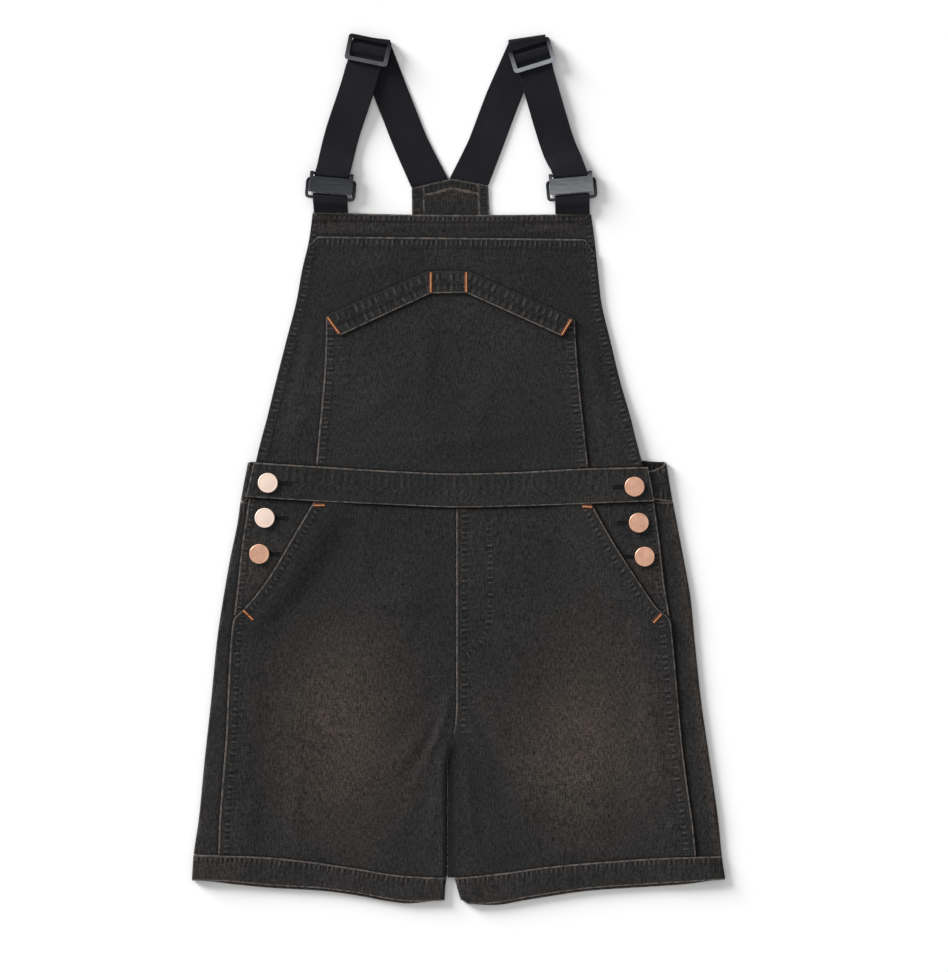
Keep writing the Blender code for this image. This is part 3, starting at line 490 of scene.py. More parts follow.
d = Recipe("denim", (0.034, 0.034, 0.035), 0.88, Sheen_Weight=0.06, Sheen_Roughness=0.5,
           Specular_IOR_Level=0.2)
slub_down = d.noise(d.place((1050.0, 200.0, 300.0)), 1.0, 2.0, 0.7)
slub_across = d.noise(d.place((260.0, 1050.0, 300.0)), 1.0, 2.0, 0.7)
twill = d.node("TexWave", {"bands_direction": "X"}, Vector=d.place((1.0, 1.0, 1.0), 0.9),
               Scale=400.0, Distortion=1.2, Detail=1.0).outputs["Fac"]
mottle = d.noise(d.place((55.0, 75.0, 60.0)), 1.0, 4.0, 0.6)
cloud = d.noise(d.place((11.0, 9.0, 10.0)), 1.0, 2.0)
along = d.attribute("cut")
edge = d.attribute("edge")

weave = d.sums("ADD", d.span(slub_down, 0.32, 0.68, 0.42, 1.56),
               d.span(slub_across, 0.32, 0.68, -0.4, 0.42))
weave = d.sums("ADD", weave, d.span(twill, 0.0, 1.0, -0.08, 0.08))
weave = d.times(weave, d.span(mottle, 0.3, 0.7, 0.92, 1.08))
weave = d.times(weave, d.span(cloud, 0.3, 0.7, 0.86, 1.16))
ground = d.blend(d.span(cloud, 0.4, 0.75, 0.0, 0.5), BLACK_COOL, BLACK_WARM)
cloth_colour = d.shade(ground, weave)

thigh = d.sums("MULTIPLY", edge["Z"], d.span(mottle, 0.25, 0.75, 0.9, 1.08), clamp=True)
faded = d.blend(d.span(d.noise(d.place((30.0, 24.0, 30.0)), 1.0, 2.0), 0.4, 0.6),
                FADED_BROWN, FADED_ROSE)
cloth_colour = d.blend(thigh, cloth_colour, d.shade(faded, weave))

# %% [markdown]
# ## Roping
# A seam's puckers come at a pitch of 4.6 mm that wanders a little. A sine along the seam gives the
# pitch, one slow noise shifts it, and another lets it fade in and out. An attribute holds each
# panel's own strength, where its puckers begin inside the edge, and where they end. Past that end
# they go on faintly, as pulled cloth does.

# %% Roping and worn edges
RIPPLES = 1370.0
strength, begin, finish = d.attribute("sewn")


def puckers(way, distance, seed):
    slow = d.noise(d.vector(d.times(way, 170.0), seed), 1.0, 1.0)
    wander = d.noise(d.vector(d.times(way, 45.0), d.times(distance, 0.012), seed), 1.0, 1.0)
    phase = d.sums("ADD", d.times(way, RIPPLES), d.times(wander, 9.0))
    wave = d.times(d.sums("SINE", phase), d.span(slow, 0.34, 0.64, 0.08, 1.0))
    inside = d.span(distance, begin, d.sums("ADD", begin, 1.4))
    outside = d.span(distance, d.sums("ADD", finish, 1.2), d.sums("SUBTRACT", finish, 0.6))
    beyond = d.span(distance, d.sums("ADD", finish, 15.0), finish, 0.0, 0.26)
    zone = d.times(inside, d.sums("MAXIMUM", outside, beyond))
    return d.times(wave, d.times(zone, strength))


rope = d.sums("ADD", puckers(along["Y"], edge["X"], 3.0), puckers(along["X"], edge["Y"], 11.0))
cloth_colour = d.blend(d.span(rope, 0.1, 0.8, 0.0, 0.62), cloth_colour, ROPE_LIGHT)
cloth_colour = d.blend(d.span(rope, -0.15, -0.8, 0.0, 0.72), cloth_colour, ROPE_DARK)

nearest = d.sums("MINIMUM", edge["X"], edge["Y"])
patchy = d.noise(d.place((230.0, 230.0, 230.0)), 1.0, 3.0)
line = d.times(d.span(nearest, 1.7, 0.9), d.span(patchy, 0.3, 0.65, 0.2, 0.95))
cloth_colour = d.blend(line, cloth_colour, EDGE_WORN)
# Painted shade: darkens the cloth where edges, grooves and folds would shade it.
painted_shade = d.attribute("painted_shade")["X"]
cloth_colour = d.blend(d.times(painted_shade, 0.82), cloth_colour, PAINTED_SHADE_COLOUR)

fine = d.bump(weave, 0.00016, 0.8)
denim = d.finish(colour=cloth_colour, normal=d.bump(rope, 0.0006, 0.8, fine),
                 roughness=d.span(mottle, 0.3, 0.7, 0.82, 0.95))
print("denim nodes", len(d.tree.nodes))

# %% [markdown]
# ## Webbing
# The straps are a flat elastic webbing: close lengthwise ribs, with a thicker woven selvage at
# each side. The pattern follows the strap, so it reads the strap's own attribute.

# %% Webbing
w = Recipe("webbing", (0.006, 0.006, 0.010), 0.8, Sheen_Weight=0.05, Sheen_Roughness=0.4,
           Specular_IOR_Level=0.2)
run = w.attribute("cut")
rib = w.node("TexWave", {"bands_direction": "X"}, Vector=w.vector(run["X"], run["Y"]), Scale=230.0,
             Distortion=0.4).outputs["Fac"]
pick_rows = w.node("TexWave", {"bands_direction": "Y"}, Vector=w.vector(run["X"], run["Y"]),
                   Scale=330.0, Distortion=0.8).outputs["Fac"]
fuzz = w.noise(w.place((700.0, 700.0, 700.0)), 1.0, 3.0)
lint = w.span(w.noise(w.place((420.0, 420.0, 420.0)), 1.0, 4.0, 0.7), 0.68, 0.78)
knit = w.sums("ADD", w.times(rib, 0.6), w.times(pick_rows, 0.4))
web_colour = w.blend(w.span(w.times(knit, fuzz), 0.1, 0.6), (0.0025, 0.0026, 0.0045),
                     (0.0085, 0.0086, 0.0135))
cloud_soft = w.noise(w.place((26.0, 18.0, 26.0)), 1.0, 3.0)
web_colour = w.shade(web_colour, w.span(cloud_soft, 0.3, 0.7, 0.7, 1.45))
web_colour = w.blend(w.times(lint, 0.22), web_colour, (0.07, 0.07, 0.08))
webbing = w.finish(colour=web_colour, normal=w.bump(knit, 0.00025, 0.8))
print("webbing nodes", len(w.tree.nodes))

# %% [markdown]
# ## Metal
# Sliders, hooks and rings are a dark gunmetal plate with a horizontal brush. The buttons are
# copper, brushed and a little pink. The first two mirror the lamp in the photograph, so they get a
# paler copper. Thread is matt, with a faint twist.

# %% Gunmetal and copper
g = Recipe("gunmetal", (0.075, 0.078, 0.085), 0.36, Metallic=0.85)
brush = g.noise(g.place((60.0, 2400.0, 900.0)), 1.0, 3.0)
smear = g.noise(g.place((90.0, 120.0, 90.0)), 1.0, 2.0)
# Painted highlight: the attribute mixes the dark grey towards a light grey, standing in for the
# lamp's reflection.
painted_highlight_metal = g.blend(g.attribute("painted_highlight")["X"], (0.015, 0.016, 0.019), (0.43, 0.45, 0.48))
gunmetal = g.finish(colour=g.shade(painted_highlight_metal, g.span(brush, 0.3, 0.7, 0.75, 1.25)),
                    normal=g.bump(brush, 0.00003, 0.5),
                    roughness=g.span(smear, 0.3, 0.7, 0.3, 0.48))

c = Recipe("copper", (0.80, 0.45, 0.33), 0.34, Metallic=0.6)
polish_marks = c.noise(c.place((1500.0, 260.0, 700.0), 0.5), 1.0, 3.0)
tarnish = c.noise(c.place((160.0, 160.0, 160.0)), 1.0, 3.0)
pinks = c.blend(c.span(tarnish, 0.2, 0.8), (0.70, 0.385, 0.26), (0.82, 0.475, 0.33))
copper = c.finish(colour=pinks, normal=c.bump(polish_marks, 0.00003, 0.6),
                  roughness=c.span(tarnish, 0.3, 0.7, 0.3, 0.5))

p = Recipe("copper_pale", (0.95, 0.74, 0.63), 0.4, Metallic=0.35)
pale_marks = p.noise(p.place((1500.0, 260.0, 700.0), 0.5), 1.0, 3.0)
copper_pale = p.finish(colour=p.blend(pale_marks, (0.90, 0.68, 0.56), (0.97, 0.78, 0.67)),
                       normal=p.bump(pale_marks, 0.00003, 0.5))


def thread(name, light, dark):
    t = Recipe(name, light, 0.8, Specular_IOR_Level=0.2)
    twist = t.noise(t.place((2600.0, 2600.0, 2600.0)), 1.0, 2.0)
    return t.finish(colour=t.blend(t.span(twist, 0.3, 0.7), dark, light),
                    normal=t.bump(twist, 0.0001, 0.6))


dark_thread = thread("thread_dark", (0.030, 0.024, 0.021), (0.009, 0.008, 0.008))
orange_thread = thread("thread_orange", (0.93, 0.50, 0.25), (0.62, 0.27, 0.10))
# Painted shade: dark rust thread for the beds under each bartack, standing in for the tack's shade.
tack_shade_thread = thread("thread_tack_shade", (0.24, 0.066, 0.024), (0.060, 0.018, 0.010))
hole_dark = thread("buttonhole_dark", (0.006, 0.005, 0.005), (0.002, 0.002, 0.002))
print("metals and threads ready")

# %% [markdown]
# ## Cutting a panel
# A panel is a grid of cells bent to its place, then given the cloth's thickness by a Solidify
# modifier and a small rounding at its cut edges by a Bevel. The grid operator makes the cells; the
# points come from the pattern. Along the way each point is told where it is for the material.

# %% Panel helper
grids = {}
Seams = namedtuple("Seams", "left right top bottom")
FAR = 40.0
WORN_REACH = 1.8
PAST_WORN = 1.75


def reach_along(points, axis):
    gaps = np.linalg.norm(np.diff(points, axis=axis), axis=2)
    zero = np.zeros_like(np.take(gaps, [0], axis=axis))
    return np.concatenate((zero, np.cumsum(gaps, axis=axis)), axis=axis)


def edge_distances(points):
    """How far each point is from the panel's left, right, top and bottom edge."""
    across, down = reach_along(points, 1), reach_along(points, 0)
    return {"L": across, "R": across[:, -1:] - across, "T": down, "B": down[-1:] - down}


def along_border(points, reach, other):
    """How far along its nearest border each point lies, measured square to that border."""
    alongs = []
    for end in (0, -1):
        border = points[:, end]
        ahead = np.gradient(border, axis=0)
        ahead /= np.maximum(np.linalg.norm(ahead, axis=1, keepdims=True), 1e-6)
        square = ((points - border[:, None]) * ahead[:, None]).sum(axis=2)
        alongs.append(other[:, end][:, None] + square)
    return np.where(reach < reach[:, -1:] - reach, alongs[0], alongs[1])


def thigh_fade(x, y):
    left = np.exp(-(((x + 107.0) / 70.0) ** 2 + ((y + 241.0) / 94.0) ** 2) ** 1.2)
    right = np.exp(-(((x - 118.0) / 67.0) ** 2 + ((y + 246.0) / 92.0) ** 2) ** 1.2)
    return 0.92 * left + 0.85 * right


def shade_beside(distance, reach=3.2):
    """Painted shade: cloth close to a covering edge is darkened, standing in for the shade the edge
    casts.
    """
    return np.where(distance > -0.4, smooth_step(reach, 0.4, distance), 0.0)


def only_near(distance):
    return np.where(distance < WORN_REACH, distance, FAR)


def panel(node, points, thickness, seams="", material=denim, closed=False, rope=(1.0, 1.4, 8.4),
          pitch=1.0, fade=0.0, round_edge=0.35, painted_shade=0.0, lines=None, row_of_pits=None,
          no_edge=None, brown=0.0, bare=""):
    """A cloth panel from rows of points.

    Seams with puckers are named by L, R, T and B, and edges that are only worn by l, r, t and b.
    Those named in bare keep their puckers, but their edge isn't worn pale. The rope is how strong
    the puckers are, where they begin inside the edge and where they end.
    """
    rows, columns = points.shape[:2]
    mesh = bpy.data.meshes.new(node + "_cloth")
    bm = bmesh.new()
    bmesh.ops.create_grid(bm, x_segments=columns - 1, y_segments=rows - 1, size=0.5)
    bm.to_mesh(mesh)
    bm.free()
    flat = np.empty(len(mesh.vertices) * 3)
    mesh.vertices.foreach_get("co", flat)
    flat = flat.reshape(-1, 3)
    column = np.rint((flat[:, 0] + 0.5) * (columns - 1)).astype(int)
    row = np.rint((flat[:, 1] + 0.5) * (rows - 1)).astype(int)
    distances = edge_distances(points)
    across, down = distances["L"], distances["T"]
    if no_edge is not None:
        distances["R"] = np.where(no_edge, FAR, distances["R"])

    def nearest_of(names):
        nearest = np.full((rows, columns), FAR)
        for name in names:
            distance = distances[name]
            if name in bare:
                distance = np.maximum(distance, PAST_WORN)
            if name in seams:
                nearest = np.minimum(nearest, distance)
            elif name.lower() in seams:
                nearest = np.minimum(nearest, only_near(distance))
        return nearest

    from_side, from_end = nearest_of("LR"), nearest_of("TB")
    if lines is not None:
        from_end = np.minimum(from_end, only_near(lines))
    along_side, along_end = down, across
    if material is denim:
        along_side = along_border(points, across, down)
        along_end = along_border(points.transpose(1, 0, 2), down.T, across.T).T
    if row_of_pits is not None:
        near_row, off_row, along_row = row_of_pits
        from_side = np.where(near_row, 7.4 + off_row, from_side)
        along_side = np.where(near_row, along_row, along_side)
    worn = thigh_fade(points[..., 0], points[..., 1]) * fade + brown
    cut = np.stack((along_end * MM * pitch, along_side * MM * pitch, 0.0 * across), axis=2)
    edges = np.stack((from_side, from_end, worn), axis=2)
    mesh.vertices.foreach_set("co", (points[row, column] * MM).ravel())
    sewn_values = np.broadcast_to(np.array(rope), (rows, columns, 3))
    # Painted shade: how much darker each point is drawn, in place of the shade that edges, grooves
    # and folds cast.
    dark = np.broadcast_to(np.asarray(painted_shade, float), (rows, columns))
    dark = np.stack((dark, dark, dark), axis=2)
    for name, values in (("cut", cut), ("edge", edges), ("sewn", sewn_values), ("painted_shade", dark)):
        layer = mesh.attributes.new(name, "FLOAT_VECTOR", "POINT")
        layer.data.foreach_set("vector", values[row, column].ravel())
    if closed:
        bm = bmesh.new()
        bm.from_mesh(mesh)
        bmesh.ops.remove_doubles(bm, verts=bm.verts, dist=0.00001)
        bm.to_mesh(mesh)
        bm.free()
    mesh.materials.append(material)
    mesh.shade_smooth()
    item = new_object(node + "_cloth", mesh)
    wall = item.modifiers.new("Wall", "SOLIDIFY")
    wall.thickness = thickness * MM
    wall.offset = 0.0
    edge_round = item.modifiers.new("Round", "BEVEL")
    edge_round.width = round_edge * MM
    edge_round.segments = 2
    edge_round.limit_method = "ANGLE"
    edge_round.angle_limit = math.radians(50)
    edge_round.loop_slide = False
    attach(item, "root")
    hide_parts(node)
    grids[node] = points
    return item


def spaced(length, cell=2.3, near=(0.0, 0.5, 1.1, 2.0, 3.4, 5.2, 7.2, 9.2), both=True):
    """Shares from 0 to 1 along a length, close together at the ends and even between."""
    near = np.array(near)
    start = near[-1]
    end = length - near[-1] if both else length
    middle = np.linspace(start, end, max(2, int((end - start) / cell) + 1))
    parts = [near[:-1], middle] + ([length - near[-2::-1]] if both else [])
    return np.concatenate(parts) / length


def margin(points, seams, width=8.6, height=0.34):
    """The turned edge is twice as thick as the cloth, so it stands a little higher."""
    lift = np.zeros(points.shape[:2])
    for name, distance in edge_distances(points).items():
        if name in seams:
            lift = np.maximum(lift, height * smooth_step(width + 1.2, width - 0.8, distance))
    raised = points.copy()
    raised[..., 2] += lift
    return raised


def with_corners(shares, corners):
    """Adds shares where the outline has a corner, in place of any that lie too close to one."""
    corners = np.array(corners)
    apart = np.abs(shares[:, None] - corners[None, :]).min(axis=1) > 0.002
    return np.sort(np.concatenate((shares[apart], corners)))


def grid_of(x, y, z):
    x, y, z = np.broadcast_arrays(x, y, z)
    return np.stack((x, y, z), axis=2).astype(float)


print("panel helper ready")

# %% [markdown]
# ## Front legs
# Each front panel runs from the waist to the hem. Its outer edge is the slanted pocket mouth and
# then the side seam, and its inner edge is the centre seam and then the inseam, where it turns
# down between the legs. It is drawn row by row from the waist down. Below the crotch the left
# leg's roll lies a little higher than the right leg's, so that the groove between them is dark.

# %% Front legs
def end_on_hem(x, y, v):
    lean = hem_top(x) + SEAM / 2 + 359.0
    return y + lean * smooth_step(0.35, 1.0, v) + SEAM * smooth_step(0.9, 1.0, v)


def start_on_band(x, v):
    lean = band_foot(x) - SEAM - BAND_BOTTOM
    return lean * (1.0 - smooth_step(0.0, 0.22, v))


CROTCH = -247.0
ROLL_LIFTS = {LEFT: 0.35, RIGHT: -0.45}
OUTER_CELLS = np.array((0.0, 0.5, 1.1, 2.0, 3.4, 5.2, 7.2, 9.2, 11.5, 14.0, 17.0, 20.5, 24.5, 29.0,
                        34.0, 39.0, 43.5, 48.0))
INNER_CELLS = np.array((7.6, 5.4, 3.4, 1.6, 0.0)) + 0.001
ROLL_STEPS = np.arange(0.0, 3.01, 0.5)[None, :]


def inner_turn(side, y, front):
    """The inner edge, straight above the crotch and rolled down between the legs below it."""
    x_edge = pick(side, inner_left, inner_right, y)
    turned = smooth_step(-251.5, -281.5, y)
    high = front_level(side, x_edge, y) if front else 0.0
    radius = (LEG_LEVEL - BACK_LEVEL) / 2
    angle = np.radians(22.0 * ROLL_STEPS)
    flat_x = x_edge + side * (3.0 - ROLL_STEPS) * 1.2
    round_x = x_edge + side * (CLOTH / 2 + radius * (1.0 - np.sin(angle)))
    drop = radius * (1.0 - np.cos(angle)) * turned
    z = high - drop - (high - LEG_LEVEL) * turned if front else BACK_LEVEL + drop
    return mix(flat_x, round_x, turned), z


FLY = np.array(((27.0, -47.9), (28.8, -84.2), (29.3, -121.4), (27.9, -143.7), (20.9, -160.4),
                (10.7, -170.7), (-0.5, -177.2)))
FLY_STEPS = 90
fly_way = way_along(FLY)
fly_places = np.linspace(0.0, fly_way[-1], FLY_STEPS)
fly_line = smooth_path(fly_way, FLY, fly_places)


def near_fly(x, y):
    """Which points lie near the curved row of the mock fly, how far off it, and how far along."""
    gap_x = x[..., None] - fly_line[:, 0]
    gap_y = y[..., None] - fly_line[:, 1]
    away = np.hypot(gap_x, gap_y)
    closest = away.argmin(axis=2)
    ahead = np.gradient(fly_line, axis=0)[closest]
    off_x = np.take_along_axis(gap_x, closest[..., None], 2)[..., 0]
    off_y = np.take_along_axis(gap_y, closest[..., None], 2)[..., 0]
    sign = np.sign(ahead[..., 0] * off_y - ahead[..., 1] * off_x)
    distance = away.min(axis=2)
    return (distance < 6.5) & (x > 6.0), sign * distance, fly_places[closest]


def below_crotch(y):
    return smooth_step(CROTCH, CROTCH - 15.0, y)


def front_leg(side, name):
    v = spaced(329.0, 2.3)[:, None]
    y = mix(BAND_BOTTOM, -359.0, v)
    outer = front_edge(side, y)
    turn_x, turn_z = inner_turn(side, y, True)
    near_outer = outer - side * OUTER_CELLS[None, :]
    near_inner = turn_x[:, :1] + side * INNER_CELLS[None, :]
    share = np.linspace(0.0, 1.0, 84)[None, 1:-1]
    between = mix(near_outer[:, -1:], near_inner[:, :1], share)
    x = np.concatenate((near_outer, between, near_inner[:, :-1]), axis=1)
    z = front_level(side, x, y)
    x = np.concatenate((x, turn_x), axis=1)
    z = np.concatenate((z, turn_z), axis=1)
    z = z + leg_drape(side, x, y)
    middle = (LEG_LEVEL + BACK_LEVEL) / 2
    lap = smooth_step(9.0, 3.0, np.abs(x - turn_x[:, -1:])) * below_crotch(y)
    lap = lap * smooth_step(-357.0, -345.0, y)
    z = z + ROLL_LIFTS[side] * lap * np.clip((z - middle) / (LEG_LEVEL - middle), 0.0, 1.0)
    seams = "L" if side == LEFT else "LR"
    points = margin(grid_of(x, end_on_hem(x, y, v) + start_on_band(x, v), z), seams)
    x, y = points[..., 0], points[..., 1]
    from_inseam = edge_distances(points)["R"]
    # Painted shade below the waistband's edge, above the hem, beside the left leg's inseam and on
    # the rolls between the legs.
    dark = np.maximum(shade_beside(band_foot(x) - y), shade_beside(y - hem_top(x)))
    if side == LEFT:
        dark = np.maximum(dark, shade_beside(from_inseam, 2.4))
        shadowed = smooth_step(5.5, 2.5, from_inseam)
    else:
        shadowed = smooth_step(9.5, 1.5, from_inseam)
    dark = np.maximum(dark, 1.15 * shadowed * below_crotch(y))
    pits = near_fly(x, y) if side == RIGHT else None
    panel("front_leg_" + name, points, CLOTH, seams, fade=1.0, rope=(1.05, 5.2, 10.2), pitch=0.9,
          painted_shade=dark, row_of_pits=pits, no_edge=y < CROTCH)


front_leg(LEFT, "left")
front_leg(RIGHT, "right")
print("front leg cells", grids["front_leg_left"].shape[:2])

# %% [markdown]
# ## Back legs
# The back panel lies on the surface, turns round the outer fold and comes back on top to the side
# seam, so it is one piece that wraps. Rolling it over a small half circle keeps the fold soft, and
# the cloth on that fold is rubbed browner; the right leg's fold gets more of it, which is painted
# light on a side that faces away from the lamp.

# %% Back legs
ON_TOP = 20


def back_leg(side, name):
    v = spaced(328.8, 3.0, both=False)[:, None]
    y = mix(BAND_BOTTOM - 0.2, -359.0, v)
    radius = (WRAP_LEVEL - BACK_LEVEL) / 2
    tuck = mix(7.0, 30.0, smooth_step(-158.0, -138.0, y))
    wrap_end = pick(side, side_left, side_right, y) - side * tuck
    turn = pick(side, fold_left, fold_right, y) - side * (CLOTH / 2 + radius)
    over = np.linspace(0.0, 1.0, ON_TOP)[None, :]
    top_x = mix(wrap_end, turn, over)
    free = smooth_step(0.0, 0.3, over)
    top_z = WRAP_LEVEL + 0.3 * free * np.sin(y * 0.13 + 2.0 * np.sin(y * 0.031 + side)) * free
    angle = np.radians(180.0 * np.arange(1, 12) / 12)[None, :]
    round_x = turn + side * radius * np.sin(angle)
    round_z = BACK_LEVEL + radius * (1.0 + np.cos(angle)) + 0.0 * y
    low_end, low_z = inner_turn(side, y, False)
    low_x = mix(turn, low_end[:, :1], np.linspace(0.0, 1.0, 74)[None, :-1])
    lift = np.clip(drape(BACK_CREASES, low_x, y), 0.0, 0.45)
    for end in (turn, low_end[:, :1]):
        lift = lift * smooth_step(0.0, 25.0, np.abs(low_x - end))
    x = np.concatenate((top_x, round_x, low_x, low_end), axis=1)
    z = np.concatenate((top_z, round_z, BACK_LEVEL + lift, low_z), axis=1)
    points = grid_of(x, end_on_hem(x, y, v), z)
    x, y = points[..., 0], points[..., 1]
    outward = side * (x - pick(side, side_left, side_right, y))
    on_top = np.arange(points.shape[1])[None, :] < ON_TOP
    # Painted shade beside the side seam, where the front panel lies over the back, and on the
    # turned-in cloth seen between the legs.
    turned = below_crotch(y) * smooth_step(6.5, 2.5, edge_distances(points)["R"])
    dark = np.where(on_top, shade_beside(outward, 4.0), 1.15 * turned)
    # The fold is rubbed browner; the right leg's larger share is painted light on a side facing
    # away from the lamp.
    rub_and_painted_light = (0.12 if side == LEFT else 0.5) * smooth_step(9.0, 1.0, side * (turn - x))
    panel("back_leg_" + name, points, CLOTH, "T", rope=(0.8, 2.0, 8.4), painted_shade=dark, brown=rub_and_painted_light)


back_leg(LEFT, "left")
back_leg(RIGHT, "right")
print("back leg cells", grids["back_leg_left"].shape[:2])

# %% [markdown]
# ## Hip facings
# Under each pocket mouth lies a facing that ends in the button placket. It is plain cloth with a
# sewn edge, and the two lower buttons sit on it.

# %% Hip facings
def hip_facing(side, name):
    v = np.linspace(0.0, 1.0, 46)[:, None]
    y = mix(BAND_BOTTOM, -136.0, v)
    outer = pick(side, side_left, side_right, y)
    inner = front_edge(side, y) - side * 15.0
    near = spaced(80.0, 2.3, both=False)[None, :]
    x = mix(outer, inner, near)
    points = grid_of(x, y + start_on_band(x, v), FACING_LEVEL)
    points = margin(points, "L", width=6.5, height=0.12)
    x, y = points[..., 0], points[..., 1]
    outward = side * (x - front_edge(side, y))
    # Painted shade beside the front panel's edge and below the waistband.
    dark = np.maximum(shade_beside(outward, 4.4), shade_beside(band_foot(x) - y))
    low = np.exp(-(((y + 96.0) / 26.0) ** 2))
    panel("hip_facing_" + name, points, CLOTH, "L", rope=(0.85, 2.0, 6.0), painted_shade=dark,
          brown=0.3 * low)


hip_facing(LEFT, "left")
hip_facing(RIGHT, "right")

# %% [markdown]
# ## Waistbands
# The front band is a straight strip of two layers, lightly curved where it was laid. The back band
# turns round both sides on a half circle and ends under the front band's buttons.

# %% Waistbands
def front_waistband():
    v = spaced(33.0, 1.6, near=(0.0, 0.5, 1.2, 2.2, 3.6))[:, None]
    u = spaced(372.0, 2.0)[None, :]
    x = mix(mix(-190.0, -197.5, v), mix(176.0, 182.0, v), u)
    puff = 0.22 * np.sin(x * 0.071 + 1.7 * np.sin(x * 0.023)) * np.sin(np.pi * v)
    points = grid_of(x, mix(band_top(x), band_foot(x), v), band_level(x) + puff)
    panel("front_waistband", margin(points, "LRTB", width=5.4, height=0.2), BAND_CLOTH, "lrTb",
          rope=(0.42, 1.6, 20.0), pitch=0.65)


def back_waistband():
    radius = (BACK_BAND_WRAP_LEVEL - BACK_BAND_LEVEL) / 2
    levels = spaced(40.0, 2.0, near=(0.0, 0.6, 1.4, 2.6), both=True)
    rows = []
    for v in levels:
        row = []
        for side in (LEFT, RIGHT):
            end_y = mix(7.0, BAND_BOTTOM + 1.5, v)
            turn = float(pick(side, fold_left, fold_right, end_y))
            turn -= side * (BAND_CLOTH / 2 + radius)
            band_end = float(pick(side, side_left, side_right, end_y))
            wrap_end = band_end - side * 30.0
            keys = [(wrap_end, mix(band_top(wrap_end) - 4.0, band_foot(wrap_end) + 1.5, v)),
                    (band_end, mix(band_top(band_end) - 3.0, band_foot(band_end) + 1.5, v)),
                    (mix(band_end, turn, 0.5), mix(1.5, BAND_BOTTOM + 1.0, v)),
                    (turn, mix(4.0, BAND_BOTTOM + 0.1, v))]
            half = []
            for (x0, y0), (x1, y1), count in zip(keys, keys[1:], (8, 4, 4)):
                half += [(mix(x0, x1, t), mix(y0, y1, t), BACK_BAND_WRAP_LEVEL)
                         for t in np.linspace(0.0, 1.0, count)[:-1]]
            half.append((*keys[-1], BACK_BAND_WRAP_LEVEL))
            for k in range(1, 12):
                angle = math.radians(15.0 * k)
                half.append((turn + side * radius * math.sin(angle),
                             mix(5.0 + k * 0.17, BAND_BOTTOM + 0.1, v),
                             BACK_BAND_LEVEL + radius * (1.0 + math.cos(angle))))
            for x in np.linspace(turn, 0.0, 66):
                up = mix(7.0 + 4.0 * smooth_step(0.0, 60.0, abs(turn - x)), BAND_BOTTOM + 0.1, v)
                half.append((x, up, BACK_BAND_LEVEL))
            row += half if side == LEFT else half[-2::-1]
        rows.append(row)
    points = np.array(rows, float)
    # Painted shade on the band's lower layer, under the front band.
    inside = points[..., 2] < BACK_BAND_LEVEL + 0.3
    panel("back_waistband", points, BAND_CLOTH, "LRTB", painted_shade=1.1 * inside)


front_waistband()
back_waistband()
print("waistband cells", grids["front_waistband"].shape[:2], grids["back_waistband"].shape[:2])

# %% [markdown]
# ## Back bib and yoke
# Behind the bib the back runs up in a narrowing panel to a small gabled yoke, which both straps
# are sewn to. Only the yoke's tip shows between the straps.

# %% Back bib and yoke
def back_bib():
    v = spaced(206.0, 3.2)[:, None]
    u = spaced(200.0, 3.2)[None, :]
    y = mix(218.0 - SEAM, 11.3, v)
    x = mix(back_bib_left(y), back_bib_right(y), u)
    panel("back_bib", grid_of(x, y, BACK_LEVEL), CLOTH, "LRT")


def back_yoke():
    v = spaced(48.0, 1.5, near=(0.0, 0.5, 1.2, 2.4, 4.0))[:, None]
    u = spaced(71.0, 1.5, near=(0.0, 0.5, 1.2, 2.4, 4.0))
    u = with_corners(u, (18.5 / 71.0, 37.0 / 71.0))[None, :]
    roof_x = mix(-43.5, 27.5, u)
    roof_y = straight_line(YOKE_ROOF, roof_x)
    foot_x = mix(back_bib_left(218.0), back_bib_right(218.0), u)
    x, y = mix(roof_x, foot_x, v), mix(roof_y, 218.0, v)
    points = grid_of(x, y, BACK_LEVEL)
    points = margin(points, "LR", width=9.0, height=0.3)
    top = reach_along(points, 0)
    points[..., 2] += 0.28 * smooth_step(10.2, 8.8, top)
    across = reach_along(points, 1)
    inner = np.minimum(np.abs(across - 10.6), np.abs(across[:, -1:] - across - 9.4))
    facing = np.where((across > 9.0) & (across < across[:, -1:] - 9.0), np.abs(top - 9.0), FAR)
    # Painted shade on the yoke below its raised top band.
    panel("back_yoke", points, CLOTH, "LRT", rope=(0.5, 1.4, 6.5), lines=np.minimum(inner, facing),
          painted_shade=0.5 * smooth_step(9.0, 7.5, top),
          brown=0.5 * np.exp(-(((points[..., 0] + 7.0) / 16.0) ** 2 + ((top - 13.0) / 7.0) ** 2)))


back_bib()
back_yoke()

# %% [markdown]
# ## Bib
# Four layers make the bib: the front, the overlay with clipped corners, the pocket, and the
# chevron band along the pocket's mouth. They share one set of folds, so that the layers lift
# together as sewn cloth does.

# %% Bib layers
def bib_foot(x, tuck):
    return band_top(x) + SEAM - tuck * (1.0 - smooth_step(125.0, 155.0, np.abs(x)))


def bib_layer(layer, top_line, inset, tuck, u, v):
    y = mix(225.0, 0.0, v) + 0.0 * u
    for step in range(3):
        x = mix(bib_left(y) + inset, bib_right(y) - inset, u)
        y = mix(top_line(x), bib_foot(x, tuck), v)
    return grid_of(x, y, bib_level(x, y, layer) + bib_drape(x, y))


def painted_groove_shade(distance, place):
    """A row of stitches pulls the cloth into a narrow groove, whose shade is painted here as a dark
    line.
    """
    return 0.85 * np.exp(-((distance - place) / 0.9) ** 2)


